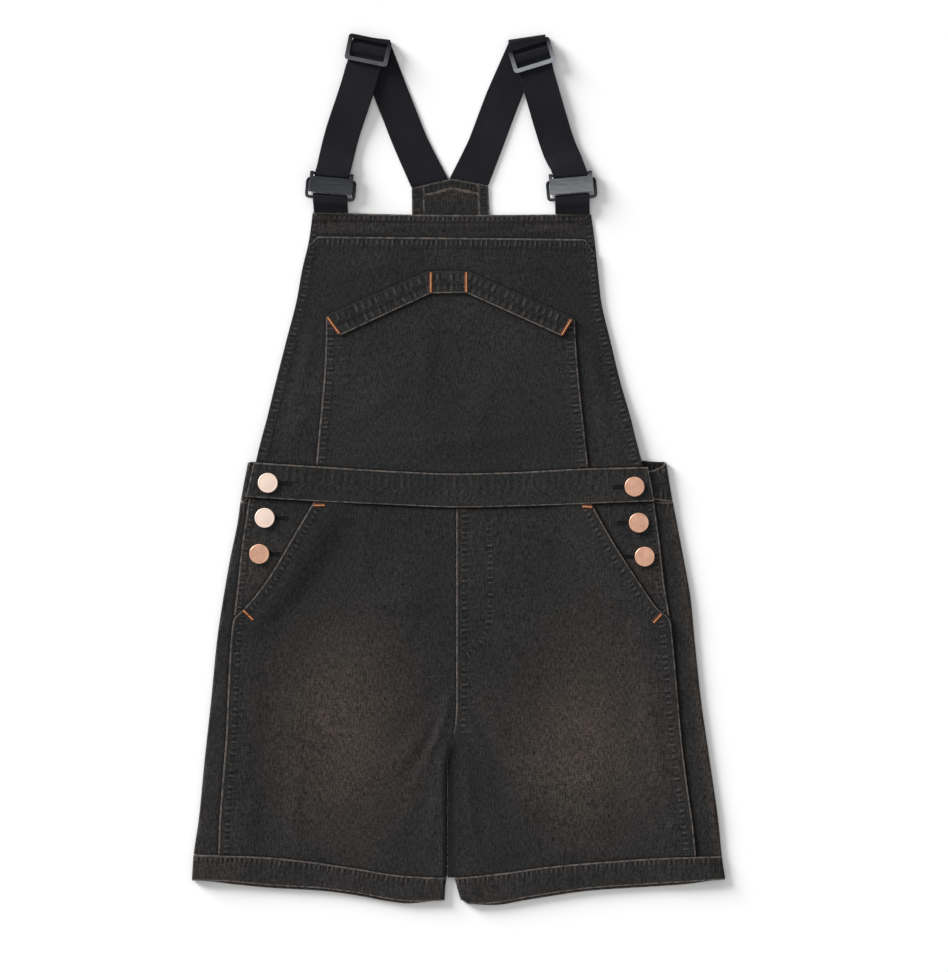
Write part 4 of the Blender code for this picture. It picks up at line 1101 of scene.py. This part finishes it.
def bib_front():
    u, v = spaced(300.0, 2.4)[None, :], spaced(245.0, 2.4)[:, None]
    points = bib_layer(0, bib_top, 0.0, 7.0, u, v)
    lift = margin(points, "T", width=7.0, height=0.3)
    over = points[..., 1] - straight_line(OVERLAY_TOP, points[..., 0])
    # Painted shade under the overlay's top edge and along the stitched groove below the top.
    panel("bib_front", lift, CLOTH, "LRT", rope=(0.85, 1.4, 5.4),
          painted_shade=np.maximum(shade_beside(over), painted_groove_shade(reach_along(points, 0), 7.0)), bare="LR",
          brown=0.15 * smooth_step(-1.0, 8.0, over))


def bib_overlay():
    corners = ((-130.5 + 138.4) / 266.0, (117.5 + 138.4) / 266.0)
    u = with_corners(spaced(300.0, 2.4), corners)[None, :]
    v = spaced(222.0, 2.3)[:, None]
    points = bib_layer(1, lambda x: straight_line(OVERLAY_TOP, x), 0.6, 0.0, u, v)
    x, y = points[..., 0], points[..., 1]
    on_pocket = (x > -123.5) & (x < 108.5)
    # Painted shade beside the waistband, the pocket's top and the pocket's sides.
    over_pocket = np.where(on_pocket, shade_beside(y - straight_line(POCKET_TOP, x)), 0.0)
    beside_pocket = np.maximum(shade_beside(pocket_left(y) - x), shade_beside(x - pocket_right(y)))
    beside_pocket = np.where(y < 142.0, beside_pocket, 0.0)
    dark = np.maximum(shade_beside(y - band_top(x)), np.maximum(over_pocket, beside_pocket))
    panel("bib_overlay", margin(points, "LRT"), CLOTH, "LRT", rope=(0.9, 1.5, 7.2), painted_shade=dark,
          bare="LR")


def bib_pocket():
    u = with_corners(spaced(240.0, 2.4), (0.409, 0.571))[None, :]
    v = spaced(165.0, 2.4)[:, None]
    y = mix(150.0, 0.0, v) + 0.0 * u
    for step in range(3):
        x = mix(pocket_left(y), pocket_right(y), u)
        y = mix(straight_line(POCKET_TOP, x) - 1.0, band_top(x) + SEAM, v)
    points = grid_of(x, y, bib_level(x, y, 2) + bib_drape(x, y))
    sides = margin(points, "LR", width=8.0, height=0.22)
    under = smooth_step(26.0, 30.0, reach_along(points, 0))
    points[..., 2] = mix(points[..., 2], sides[..., 2], under)
    # Painted shade below the chevron band's edge and above the waistband.
    dark = np.maximum(shade_beside(straight_line(BAND_LOW, points[..., 0]) - points[..., 1]),
                      shade_beside(points[..., 1] - band_top(points[..., 0])))
    panel("bib_pocket", points, CLOTH, "LR", rope=(0.9, 1.4, 8.0), painted_shade=dark)


def bib_pocket_band():
    lengths = (103.0, 37.5, 108.0)
    v = spaced(21.0, 1.4, near=(0.0, 0.5, 1.2, 2.2, 3.4))[:, None]
    xs, ys = [], []
    for run in range(3):
        t = np.linspace(0.0, 1.0, int(lengths[run] / 2.0))[None, :-1 if run < 2 else None]
        top = mix(POCKET_TOP[run], POCKET_TOP[run + 1], t[..., None])
        foot = mix(BAND_LOW[run], BAND_LOW[run + 1], t[..., None])
        both = mix(top, foot, v[..., None])
        xs.append(both[..., 0])
        ys.append(both[..., 1])
    x, y = np.concatenate(xs, axis=1), np.concatenate(ys, axis=1)
    roll = 0.25 * np.sin(np.pi * np.clip(v / 0.6, 0.0, 1.0))
    points = grid_of(x, y, bib_level(x, y, 3) + bib_drape(x, y) + roll)
    top = reach_along(points, 0)
    # Painted shade along the stitched groove in the band.
    panel("bib_pocket_band", points, CLOTH, "lrTB", rope=(0.8, 1.4, 8.6), pitch=0.72, bare="T",
          painted_shade=painted_groove_shade(top, 12.2))


bib_front()
bib_overlay()
bib_pocket()
bib_pocket_band()
print("overlay cells", grids["bib_overlay"].shape[:2])

# %% [markdown]
# ## Hems
# A turned hem is a short double tube round the leg. One closed ring of cells goes along the
# surface, round the outer fold, back over the top and round the inner fold.

# %% Hems
def hem(side, name):
    radius = (HEM_TOP_LEVEL - HEM_LOW_LEVEL) / 2
    rows = []
    for v in spaced(24.0, 1.7, near=(0.0, 0.5, 1.2, 2.2, 3.6)):
        outer = float(pick(side, fold_left, fold_right, mix(-360.0, -384.0, v)))
        outer -= side * (HEM_CLOTH / 2 + radius)
        inner = float(pick(side, inner_left, inner_right, mix(-379.0, -401.0, v)))
        inner += side * (HEM_CLOTH / 2 + radius)
        across = np.linspace(inner, outer, 94)
        half = np.radians(15.0 * np.arange(1, 12))
        ridge = 1.0 - smooth_step(14.0, 46.0, np.abs(across - side * 223.0))
        over = HEM_TOP_LEVEL + ridge * smooth_step(0.0, 10.0, np.abs(across - outer))
        ripple = 0.16 * np.sin(across * 0.11 + 2.2 * np.sin(across * 0.037)) * np.sin(np.pi * v)
        x = np.concatenate((across, outer + side * radius * np.sin(half), across[::-1],
                            inner - side * radius * np.sin(half)))
        share = np.concatenate((0 * across, half / np.pi, 0 * across + 1.0, 1.0 - half / np.pi))
        z = np.concatenate((0 * across + HEM_LOW_LEVEL,
                            HEM_LOW_LEVEL + radius * (1.0 - np.cos(half)), (over + ripple)[::-1],
                            HEM_LOW_LEVEL + radius * (1.0 + np.cos(half))))
        room = np.minimum(np.abs(x - inner), np.abs(outer - x))
        longer = 2.3 * (1.0 - share) * smooth_step(0.0, 40.0, room)
        row = np.stack((x, mix(hem_top(x), hem_foot(x) - longer, v), z), axis=1)
        rows.append(np.vstack((row, row[:1])))
    panel("hem_" + name, np.array(rows), HEM_CLOTH, "Tb", closed=True, round_edge=0.6,
          rope=(0.9, 1.4, 6.6), brown=0.12)


hem(LEFT, "left")
hem(RIGHT, "right")
print("hem cells", grids["hem_left"].shape[:2])

# %% [markdown]
# ## Straps
# Each front strap folds over at the top, goes under the slider's top bar, over its middle bar,
# under the lower bar, down to the hook, round the hook's bar and back up underneath. The way is
# written as stations across the strap; a smooth curve through them gives the fine rows.

# %% Straps
Strap = namedtuple(
    "Strap", "side slider slider_turn fold fold_turn hook hook_turn stub_x front back")
STRAPS = (
    Strap("left", (-84.0, 389.5), -11.5, (-80.6, 398.9), -7.0, (-118.5, 264.0), -5.0, -118.5,
          ((-84.0, 389.5), (-94.5, 353.0), (-109.0, 308.5), (-117.5, 272.5)),
          ((-81.0, 393.0), (-58.0, 338.0), (-46.5, 308.5), (-28.0, 266.0))),
    Strap("right", (68.0, 385.0), 17.0, (63.6, 399.3), 8.4, (104.8, 264.0), 5.0, 106.0,
          ((68.0, 385.0), (79.5, 344.0), (93.0, 300.0), (102.8, 277.0), (104.0, 272.0)),
          ((59.0, 390.0), (38.5, 338.0), (27.5, 308.5), (11.5, 266.5))),
)
WEB_FLOOR, WEB_RETURN, WEB_RUNNING, WEB_OVER_BAR = 0.8, 2.7, 4.6, 6.3
WEB_LOW_AT_HOOK, WEB_TOP_AT_HOOK = 1.5, 5.7
HOOK_BAR_CENTRE = 10.2
OBLIQUE = 1.09
IN_SLIDER = 1.03
WEB_ACROSS = np.array((-16.0, -15.4, -14.4, -12.8, -9.6, -6.4, -3.2, 0.0, 3.2, 6.4, 9.6, 12.8,
                       14.4, 15.4, 16.0))
HALF_TURN = [math.radians(18.0 * k) for k in range(11)]


def up_of(turn):
    return np.array((-math.sin(math.radians(turn)), math.cos(math.radians(turn))))


def strap_run(points, count):
    ups = [p[1] for p in points]
    x_at = smooth_curve(ups, [p[0] for p in points])
    ys = np.linspace(ups[0], ups[-1], count)
    inner = np.clip(ys, ups[-1] + 2.0, ups[0] - 2.0)
    slopes = (x_at(inner + 1.0) - x_at(inner - 1.0)) / 2.0
    return [(np.array((x_at(y), y)), -math.degrees(math.atan(s))) for y, s in zip(ys, slopes)]


def weave_strap(name, stations, fine=1.6):
    """Fine rows of webbing through stations of (centre, turn, height, width)."""
    key = np.array([(*c, z, turn, *(more or (1.0,))) for c, turn, z, *more in stations], float)
    way = way_along(key[:, :3])
    even = np.linspace(0.0, way[-1], int(way[-1] / fine))
    even = even[np.abs(even[:, None] - way[None, :]).min(axis=1) > 0.45]
    places = np.sort(np.concatenate((way, even)))
    path = smooth_path(way, key, places)
    across = WEB_ACROSS[None, :] * path[:, 4:5]
    turn = np.radians(path[:, 3:4])
    x = path[:, 0:1] + np.cos(turn) * across
    y = path[:, 1:2] + np.sin(turn) * across
    panel(name, grid_of(x, y, path[:, 2:3]), WEBBING, "", material=webbing, round_edge=0.5)


def front_strap(strap):
    run = strap_run(strap.front, 15)
    slider, up = np.array(strap.slider), up_of(strap.slider_turn)
    fold = np.array(strap.fold)
    radius = (WEB_RUNNING - WEB_FLOOR) / 2
    stations = []
    for angle in HALF_TURN:
        stations.append((fold + np.array((0.0, radius * math.sin(angle))), strap.fold_turn,
                         WEB_FLOOR + radius * (1.0 - math.cos(angle)), OBLIQUE))
    for offset, z in ((5.8, WEB_RUNNING), (2.6, WEB_OVER_BAR), (-2.6, WEB_OVER_BAR),
                      (-6.0, WEB_RUNNING), (-13.5, WEB_RUNNING)):
        width = IN_SLIDER if offset > -8.0 else 1.0
        stations.append((slider + up * offset, strap.slider_turn, z, width))

    def level(centre, top, low, at_hook):
        share = float(smooth_step(strap.slider[1] - 48.0, strap.slider[1] - 80.0, centre[1]))
        rise = float(smooth_step(strap.hook[1] + 34.0, strap.hook[1] + 12.0, centre[1]))
        return mix(mix(top, low, share), at_hook, rise), rise

    for centre, angle in run[2:-1]:
        z, rise = level(centre, WEB_RUNNING, 3.0, WEB_TOP_AT_HOOK)
        stations.append((centre, mix(angle, strap.hook_turn, rise), z))
    hook_up = up_of(strap.hook_turn)
    bar = np.array(strap.hook) + hook_up * (HOOK_BAR_CENTRE - 0.6)
    radius = (WEB_TOP_AT_HOOK - WEB_LOW_AT_HOOK) / 2
    for angle in HALF_TURN:
        stations.append((bar - hook_up * radius * math.sin(angle), strap.hook_turn,
                         WEB_LOW_AT_HOOK + radius * (1.0 + math.cos(angle))))
    for centre, angle in reversed(run[2:-1]):
        z, rise = level(centre, WEB_RETURN, 1.1, WEB_LOW_AT_HOOK)
        stations.append((centre, mix(angle, strap.hook_turn, rise), z))
    stations.append((slider - up * 6.0, strap.slider_turn, WEB_RETURN))
    weave_strap("strap_front_" + strap.side, stations)


def straight_row(centre, turn, width=1.0):
    """One row of points straight across the webbing."""
    turn = math.radians(turn)
    x = centre[0] + math.cos(turn) * WEB_ACROSS * width
    y = centre[1] + math.sin(turn) * WEB_ACROSS * width
    return np.stack((x, y, np.full_like(x, WEB_FLOOR)), axis=1)


def row_on_yoke(strap, centre, turn):
    """The last row, moved along the strap until it meets the slanting yoke."""
    ahead = np.array((math.tan(math.radians(-turn)), 1.0))
    row = straight_row(centre, turn)
    for point in row:
        for step in range(4):
            point[:2] += ahead * (straight_line(YOKE_ROOF, point[0]) + SEAM - point[1])
    spread = 2.8 * (WEB_ACROSS + 16.0) if strap.side == "left" else -4.4 * (16.0 - WEB_ACROSS)
    row[:, 0] += spread / 32.0
    row[:, 1] = straight_line(YOKE_ROOF, row[:, 0]) + SEAM
    return row


def back_strap(strap):
    run = strap_run(strap.back, 9)
    key = np.array([(*centre, turn) for centre, turn in run[:-1]])
    way = way_along(key[:, :2])
    path = smooth_path(way, key, np.linspace(0.0, way[-1], 62))
    rows = np.array([straight_row((x, y), turn) for x, y, turn in path])
    fold = (strap.fold[0], strap.fold[1] - SEAM)
    to_fold = straight_row(fold, strap.fold_turn, OBLIQUE) - rows[0]
    to_yoke = row_on_yoke(strap, *run[-1]) - rows[-1]
    share = np.linspace(0.0, 1.0, len(rows))[:, None, None]
    rows = rows + (to_fold * np.clip(1.0 - share / 0.42, 0.0, 1.0)
                   + to_yoke * np.clip((share - 0.8) / 0.2, 0.0, 1.0) ** 1.5)
    panel("strap_back_" + strap.side, rows, WEBBING, "", material=webbing, round_edge=0.5)


def strap_stub(strap):
    up = up_of(strap.hook_turn)
    bar = np.array(strap.hook) - up * (3.5 + 19.8 / 2 - 1.5 - 0.9)
    foot = np.array((strap.stub_x, float(bib_top(strap.stub_x)) + 0.15))
    radius = (WEB_TOP_AT_HOOK - WEB_LOW_AT_HOOK) / 2
    top = [(mix(foot, bar, t), strap.hook_turn * t,
            float(mix(WEB_FLOOR + WEBBING + SEAM, WEB_TOP_AT_HOOK, smooth_step(0.0, 0.7, t))))
           for t in (0.0, 0.35, 0.7)]
    loop = [(bar + up * radius * math.sin(angle), strap.hook_turn,
             WEB_LOW_AT_HOOK + radius * (1.0 + math.cos(angle))) for angle in HALF_TURN]
    low = [(mix(foot, bar, t), strap.hook_turn * t,
            float(mix(WEB_FLOOR, WEB_LOW_AT_HOOK, smooth_step(0.0, 0.7, t))))
           for t in (0.7, 0.35, 0.0)]
    weave_strap("strap_stub_" + strap.side, top + loop + low, 0.8)


for strap in STRAPS:
    front_strap(strap)
    back_strap(strap)
    strap_stub(strap)
print("strap cells", grids["strap_front_left"].shape[:2])

# %% [markdown]
# ## Metal fittings
# The sliders, hooks and rings have their true shape in the frame already, but cast and stamped
# metal never has knife edges. A welded copy of each with a small bevel catches the light along its
# edges. An attribute gives each lower bar a painted highlight, much stronger on the right fittings,
# standing in for the lamp's reflection.

# %% Metal fittings
def soften_metal(node, width, centre, turn, painted_highlight, reach):
    """A bevelled copy with a painted highlight towards its lower bar."""
    mesh = bpy.data.objects[node].data.copy()
    mesh.name = node + "_metal"
    bm = bmesh.new()
    bm.from_mesh(mesh)
    bmesh.ops.remove_doubles(bm, verts=bm.verts, dist=0.000002)
    bmesh.ops.dissolve_limit(bm, angle_limit=math.radians(1.0), verts=bm.verts, edges=bm.edges)
    bmesh.ops.recalc_face_normals(bm, faces=bm.faces)
    bm.to_mesh(mesh)
    bm.free()
    mesh.materials.clear()
    mesh.materials.append(gunmetal)
    mesh.shade_smooth()
    mesh.set_sharp_from_angle(angle=math.radians(35))
    places = np.empty(len(mesh.vertices) * 3)
    mesh.vertices.foreach_get("co", places)
    height = (places.reshape(-1, 3)[:, :2] / MM - np.array(centre)) @ up_of(turn)
    share = painted_highlight * (1.0 - smooth_step(height.min() + reach, height.min() + reach + 6.0, height))
    rub_and_painted_light = mesh.attributes.new("painted_highlight", "FLOAT_VECTOR", "POINT")
    rub_and_painted_light.data.foreach_set("vector", np.stack((share, share, share), axis=1).ravel())
    item = new_object(node + "_metal", mesh)
    soft = item.modifiers.new("Soft", "BEVEL")
    soft.width = width * MM
    soft.segments = 3
    soft.limit_method = "ANGLE"
    soft.angle_limit = math.radians(35)
    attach(item, "root")
    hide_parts(node)


# Painted highlight on each lower bar, far stronger on the right fittings, where the lamp's
# reflection falls.
for strap, lit in zip(STRAPS, (0.28, 0.92)):
    soften_metal("slider_" + strap.side, 0.5, strap.slider, strap.slider_turn, lit, 3.0)
    soften_metal("hook_" + strap.side, 0.5, strap.hook, strap.hook_turn, 0.66 * lit ** 1.3, 12.0)
    soften_metal("ring_" + strap.side, 0.6, strap.hook, strap.hook_turn, 0.12, 3.0)

# %% [markdown]
# ## Buttons
# A jeans button is a stamped cap: a flat middle, a shallow groove and a rolled rim. Spinning one
# profile round the button's axis gives all of that in a single closed mesh.

# %% Buttons
BUTTONS = ((-177.0, -12.5), (-180.0, -45.0), (-185.0, -78.5),
           (163.5, -16.0), (167.5, -49.5), (173.0, -81.0))
BUTTON_PROFILE = (
    (0.0, 0.0), (8.2, 0.0), (8.9, 0.3), (9.2, 0.8), (9.2, 1.3), (9.05, 1.7), (8.75, 1.92),
    (8.4, 1.96), (8.1, 1.9), (7.9, 1.88), (6.5, 1.97), (3.5, 2.12), (0.0, 2.2),
)


def button(index, centre):
    node = "button_%d" % (index + 1)
    base = (BAND_END_LEVEL + BAND_CLOTH / 2 if index % 3 == 0 else FACING_LEVEL + CLOTH / 2) + SEAM
    bm = bmesh.new()
    verts = [bm.verts.new((r * MM, 0.0, z * MM)) for r, z in BUTTON_PROFILE]
    edges = [bm.edges.new(pair) for pair in zip(verts, verts[1:])]
    bmesh.ops.spin(bm, geom=verts + edges, cent=(0, 0, 0), axis=(0, 0, 1),
                   angle=math.radians(360.0), steps=48, use_merge=True)
    bmesh.ops.remove_doubles(bm, verts=bm.verts, dist=0.000001)
    bmesh.ops.recalc_face_normals(bm, faces=bm.faces)
    bmesh.ops.translate(bm, verts=bm.verts, vec=(centre[0] * MM, centre[1] * MM, base * MM))
    mesh = bpy.data.meshes.new(node + "_cap")
    bm.to_mesh(mesh)
    bm.free()
    mesh.materials.append(copper_pale if index < 2 else copper)
    mesh.shade_smooth()
    item = new_object(node + "_cap", mesh)
    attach(item, "root")
    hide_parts(node)


for index, centre in enumerate(BUTTONS):
    button(index, centre)
print("buttons", len(BUTTONS))

# %% [markdown]
# ## Sewing
# A stitch is a short piece of thread that dips into the cloth at both ends. One low sphere
# squashed to that shape is repeated along lines that run at a set distance inside each edge, and
# all stitches of a panel become one mesh.

# %% Stitch helpers
def stitch_shape(length, width, height):
    bm = bmesh.new()
    bmesh.ops.create_uvsphere(bm, u_segments=6, v_segments=3, radius=0.5)
    bmesh.ops.rotate(bm, verts=bm.verts, cent=(0, 0, 0),
                     matrix=Matrix.Rotation(math.radians(90), 3, "Y"))
    bmesh.ops.scale(bm, verts=bm.verts, vec=(length, width, height))
    bm.verts.index_update()
    points = np.array([v.co[:] for v in bm.verts])
    faces = [[v.index for v in f.verts] for f in bm.faces]
    bm.free()
    return points, faces


def seam_line(node, edge_name, distance, start=0.0, end=1.0):
    """A line inside a panel at a distance from one of its edges, lying on its upper side."""
    points = grids[node]
    if edge_name in "TB":
        points = points.transpose(1, 0, 2)
    if edge_name in "RB":
        points = points[:, ::-1]
    reach = reach_along(points, 1)
    line_points = np.array([[np.interp(distance, r, column) for column in p.T]
                            for r, p in zip(reach, points)])
    count = len(line_points) - 1
    return line_points[int(start * count):int(end * count) + 1]


def stitches_on(line_points, pitch):
    """Middles and directions of stitches at an even pitch along a line."""
    way = way_along(line_points)
    places = np.arange(pitch * 0.5, way[-1], pitch)

    def point_at(place):
        return np.stack([np.interp(place, way, column) for column in line_points.T], axis=1)

    ways = point_at(places + 0.8) - point_at(places - 0.8)
    return point_at(places), ways / np.linalg.norm(ways, axis=1, keepdims=True)


def sew(name, parts, material):
    """One mesh of all stitches: parts are (shape, middles, directions)."""
    all_points, all_faces, count = [], [], 0
    for (shape, faces), middles, ways in parts:
        side = np.cross(np.array((0.0, 0.0, 1.0)), ways)
        side /= np.linalg.norm(side, axis=1, keepdims=True)
        over = np.cross(ways, side)
        placed = (middles[:, None, :] + shape[None, :, 0:1] * ways[:, None, :]
                  + shape[None, :, 1:2] * side[:, None, :] + shape[None, :, 2:3] * over[:, None, :])
        for k in range(len(placed)):
            all_faces += [[i + count for i in face] for face in faces]
            count += len(shape)
        all_points.append(placed.reshape(-1, 3))
    mesh = bpy.data.meshes.new(name)
    mesh.from_pydata((np.vstack(all_points) * MM).tolist(), [], all_faces)
    mesh.materials.append(material)
    mesh.shade_smooth()
    item = new_object(name, mesh)
    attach(item, "root")
    return item


TOPSTITCH = stitch_shape(2.5, 0.62, 0.42)
TACK = stitch_shape(1.15, 0.5, 0.55)
TACK_SHADE_BED = stitch_shape(4.2, 0.8, 0.5)
PITCH = 3.2
sewn = {}


def topstitch(node, thickness, lines):
    parts = []
    for edge_name, distance, *ends in lines:
        line_points = seam_line(node, edge_name, distance, *ends)
        line_points[:, 2] += thickness / 2 + 0.05
        parts.append((TOPSTITCH, *stitches_on(line_points, PITCH)))
    sewn[node] = sew(node + "_stitches", parts, dark_thread)


for name in ("left", "right"):
    inner_rows = (("R", 2.6, 0.0, 0.6),) if name == "right" else ()
    topstitch("front_leg_" + name, CLOTH, (("L", 2.2), ("L", 8.4)) + inner_rows)
    topstitch("hip_facing_" + name, CLOTH, (("L", 5.6),))
    topstitch("hem_" + name, HEM_CLOTH, (("T", 5.6),))
topstitch("front_waistband", BAND_CLOTH, (("T", 2.0), ("B", 2.0), ("L", 5.6), ("R", 5.6)))
topstitch("back_waistband", BAND_CLOTH, (("T", 2.0), ("B", 2.0)))
topstitch("bib_front", CLOTH, (("T", 6.6),))
topstitch("bib_overlay", CLOTH, (("T", 2.0), ("T", 9.4), ("L", 2.2), ("L", 8.4), ("R", 2.2),
                                 ("R", 8.4)))
topstitch("bib_pocket", CLOTH, (("L", 2.0, 0.12, 1.0), ("L", 8.0, 0.16, 1.0),
                                ("R", 2.0, 0.12, 1.0), ("R", 8.0, 0.16, 1.0)))
topstitch("bib_pocket_band", CLOTH, (("T", 2.0), ("T", 12.0), ("B", 2.0)))
topstitch("back_yoke", CLOTH, (("T", 12.5), ("L", 9.2), ("R", 9.2)))
topstitch("back_bib", CLOTH, (("L", 8.0), ("R", 8.0)))
print("sewn panels", len(sewn))

# %% [markdown]
# ## Bartacks
# Where a pocket would tear, the machine sews a bartack: a tight zigzag in orange. Each one is a
# row of short threads laid across its line. A wider, lower row of dark rust thread under it is
# painted shade round the raised tack.

# %% Bartacks
TACKS = {
    "bib_pocket_band": (((-121.4, 141.0), (-110.8, 126.4)), ((-25.6, 182.6), (-25.6, 164.6)),
                        ((7.2, 182.6), (7.2, 164.8)), ((104.6, 139.0), (96.0, 125.0))),
    "front_leg_left": (((-134.4, -33.4), (-124.4, -33.2)), ((-199.8, -131.0), (-191.0, -139.6))),
    "front_leg_right": (((115.4, -34.4), (123.8, -35.0)), ((181.4, -142.2), (188.4, -134.6))),
}


def height_on(node, x, y):
    points = grids[node].reshape(-1, 3)
    nearest_point = np.argmin((points[:, 0] - x) ** 2 + (points[:, 1] - y) ** 2)
    return points[nearest_point, 2]


for node, tacks in TACKS.items():
    parts, shade_beds = [], []
    for start, end in tacks:
        start, end = np.array(start), np.array(end)
        length = float(np.linalg.norm(end - start))
        count = int(length / 0.42)
        ways = (end - start) / length
        flat = start + np.linspace(0.0, 1.0, count)[:, None] * (end - start)
        middles = np.array([(x, y, height_on(node, x, y) + CLOTH / 2 + 0.22) for x, y in flat])
        lean = np.where(np.arange(count) % 2, 0.16, -0.16)[:, None]
        cross = np.array((-ways[1], ways[0]))[None, :] + lean * ways[None, :]
        cross = np.hstack((cross, np.zeros((count, 1))))
        cross = cross / np.linalg.norm(cross, axis=1, keepdims=True)
        parts.append((TACK, middles, cross))
        # Painted shade: a wider, lower row of dark rust thread under the tack.
        shade_beds.append((TACK_SHADE_BED, middles - np.array((0.0, 0.0, 0.1)), cross))
    sewn[node + "_tacks"] = sew(node + "_bartacks", parts, orange_thread)
    sewn[node + "_beds"] = sew(node + "_bartack_beds", shade_beds, tack_shade_thread)
print("bartacks", sum(len(t) for t in TACKS.values()))

# %% [markdown]
# ## Buttonholes
# From each button a hole runs inwards, sewn over with dark thread. Four rows of short threads fill
# its tongue, and a ring of the same threads makes the round eye at its inner end.

# %% Buttonholes
HOLE_LENGTH = 10.0
HOLE_ROWS = (-1.35, -0.45, 0.45, 1.35)
TONGUE_STEPS, EYE_STEPS, EYE_RADIUS = 24, 14, 1.6
WHIP = stitch_shape(1.3, 1.2, 0.7)
hole_parts = {}
for index, (x, y) in enumerate(BUTTONS):
    inward = 1.0 if x < 0 else -1.0
    band = index % 3 == 0
    node = "front_waistband" if band else "hip_facing_" + ("left" if x < 0 else "right")
    lift = (BAND_CLOTH if band else CLOTH) / 2 + 0.1
    start = x + inward * 8.0
    flat = []
    for k in range(TONGUE_STEPS):
        t = k / (TONGUE_STEPS - 1)
        for row_y in HOLE_ROWS:
            flat.append((start + inward * t * HOLE_LENGTH, y + row_y, 0.0, 1.0))
    for k in range(EYE_STEPS):
        angle = math.radians(360 * k / EYE_STEPS)
        out_x, out_y = inward * math.cos(angle), math.sin(angle)
        flat.append((start + inward * (HOLE_LENGTH + 1.2) + EYE_RADIUS * out_x,
                     y + EYE_RADIUS * out_y, out_x, out_y))
    middles = np.array([(px, py, height_on(node, px, py) + lift) for px, py, _, _ in flat])
    ways = np.array([(wx, wy, 0.0) for _, _, wx, wy in flat])
    ways[:, :2] /= np.linalg.norm(ways[:, :2], axis=1, keepdims=True)
    hole_parts.setdefault(node, []).append((WHIP, middles, ways))
for node, parts in hole_parts.items():
    sewn[node + "_holes"] = sew(node + "_buttonholes", parts, hole_dark)
print("buttonholes", len(BUTTONS))

# %% [markdown]
# ## Mock fly
# The fly is only sewn: one straight row right of the centre seam, and two curved rows that mark
# where a fly would end. All of them lie on the right front panel.

# %% Mock fly
fly_parts = []
for shift in (0.0, 5.6):
    line_points = np.array([(x - shift, y, height_on("front_leg_right", x - shift, y))
                            for x, y in fly_line])
    line_points[:, 2] += CLOTH / 2 + 0.05
    line_points = line_points[:int(FLY_STEPS - shift * 3)]
    fly_parts.append((TOPSTITCH, *stitches_on(line_points, PITCH)))
inside = seam_line("front_leg_right", "R", 8.2, 0.0, 0.56)
inside[:, 2] += CLOTH / 2 + 0.05
fly_parts.append((TOPSTITCH, *stitches_on(inside, PITCH)))
sewn["mock_fly"] = sew("mock_fly_stitches", fly_parts, dark_thread)

# %% [markdown]
# ## Cloth facts
# Every panel and strap is a sheet of cloth that lies on what is under it. The cut is the flat
# size before laying: its width, its length and its real area where it isn't a rectangle.

RESTS = {
    "back_leg_left": "surface", "back_leg_right": "surface", "back_waistband": "surface",
    "back_bib": "surface", "back_yoke": "surface", "hem_left": "surface", "hem_right": "surface",
    "hip_facing_left": "back_leg_left_cloth", "hip_facing_right": "back_leg_right_cloth",
    "front_leg_left": "hip_facing_left_cloth", "front_leg_right": "hip_facing_right_cloth",
    "front_waistband": "back_waistband_cloth", "bib_front": "back_bib_cloth",
    "bib_overlay": "bib_front_cloth", "bib_pocket": "bib_overlay_cloth",
    "bib_pocket_band": "bib_pocket_cloth", "strap_back_left": "surface",
    "strap_back_right": "surface", "strap_front_left": "surface", "strap_front_right": "surface",
    "strap_stub_left": "surface", "strap_stub_right": "surface",
}


def grid_area(points):
    a = points[1:, 1:] - points[:-1, :-1]
    b = points[1:, :-1] - points[:-1, 1:]
    return float(np.linalg.norm(np.cross(a, b), axis=2).sum()) / 2 * MM * MM


for node, under in RESTS.items():
    points = grids[node]
    width = float(reach_along(points, 1)[:, -1].max()) * MM
    length = float(reach_along(points, 0)[-1].max()) * MM
    area = grid_area(points)
    width, length = round(width, 3), round(length, 3)
    area = round(min(area, width * length), 5)
    own = [node + ending for ending in ("", "_tacks", "_beds", "_holes")]
    with_pieces = [item for key_name, item in sewn.items() if key_name in own]
    if node == "front_leg_right":
        with_pieces.append(sewn["mock_fly"])
    print(node, "cut", width, "x", length, "m, area", area)
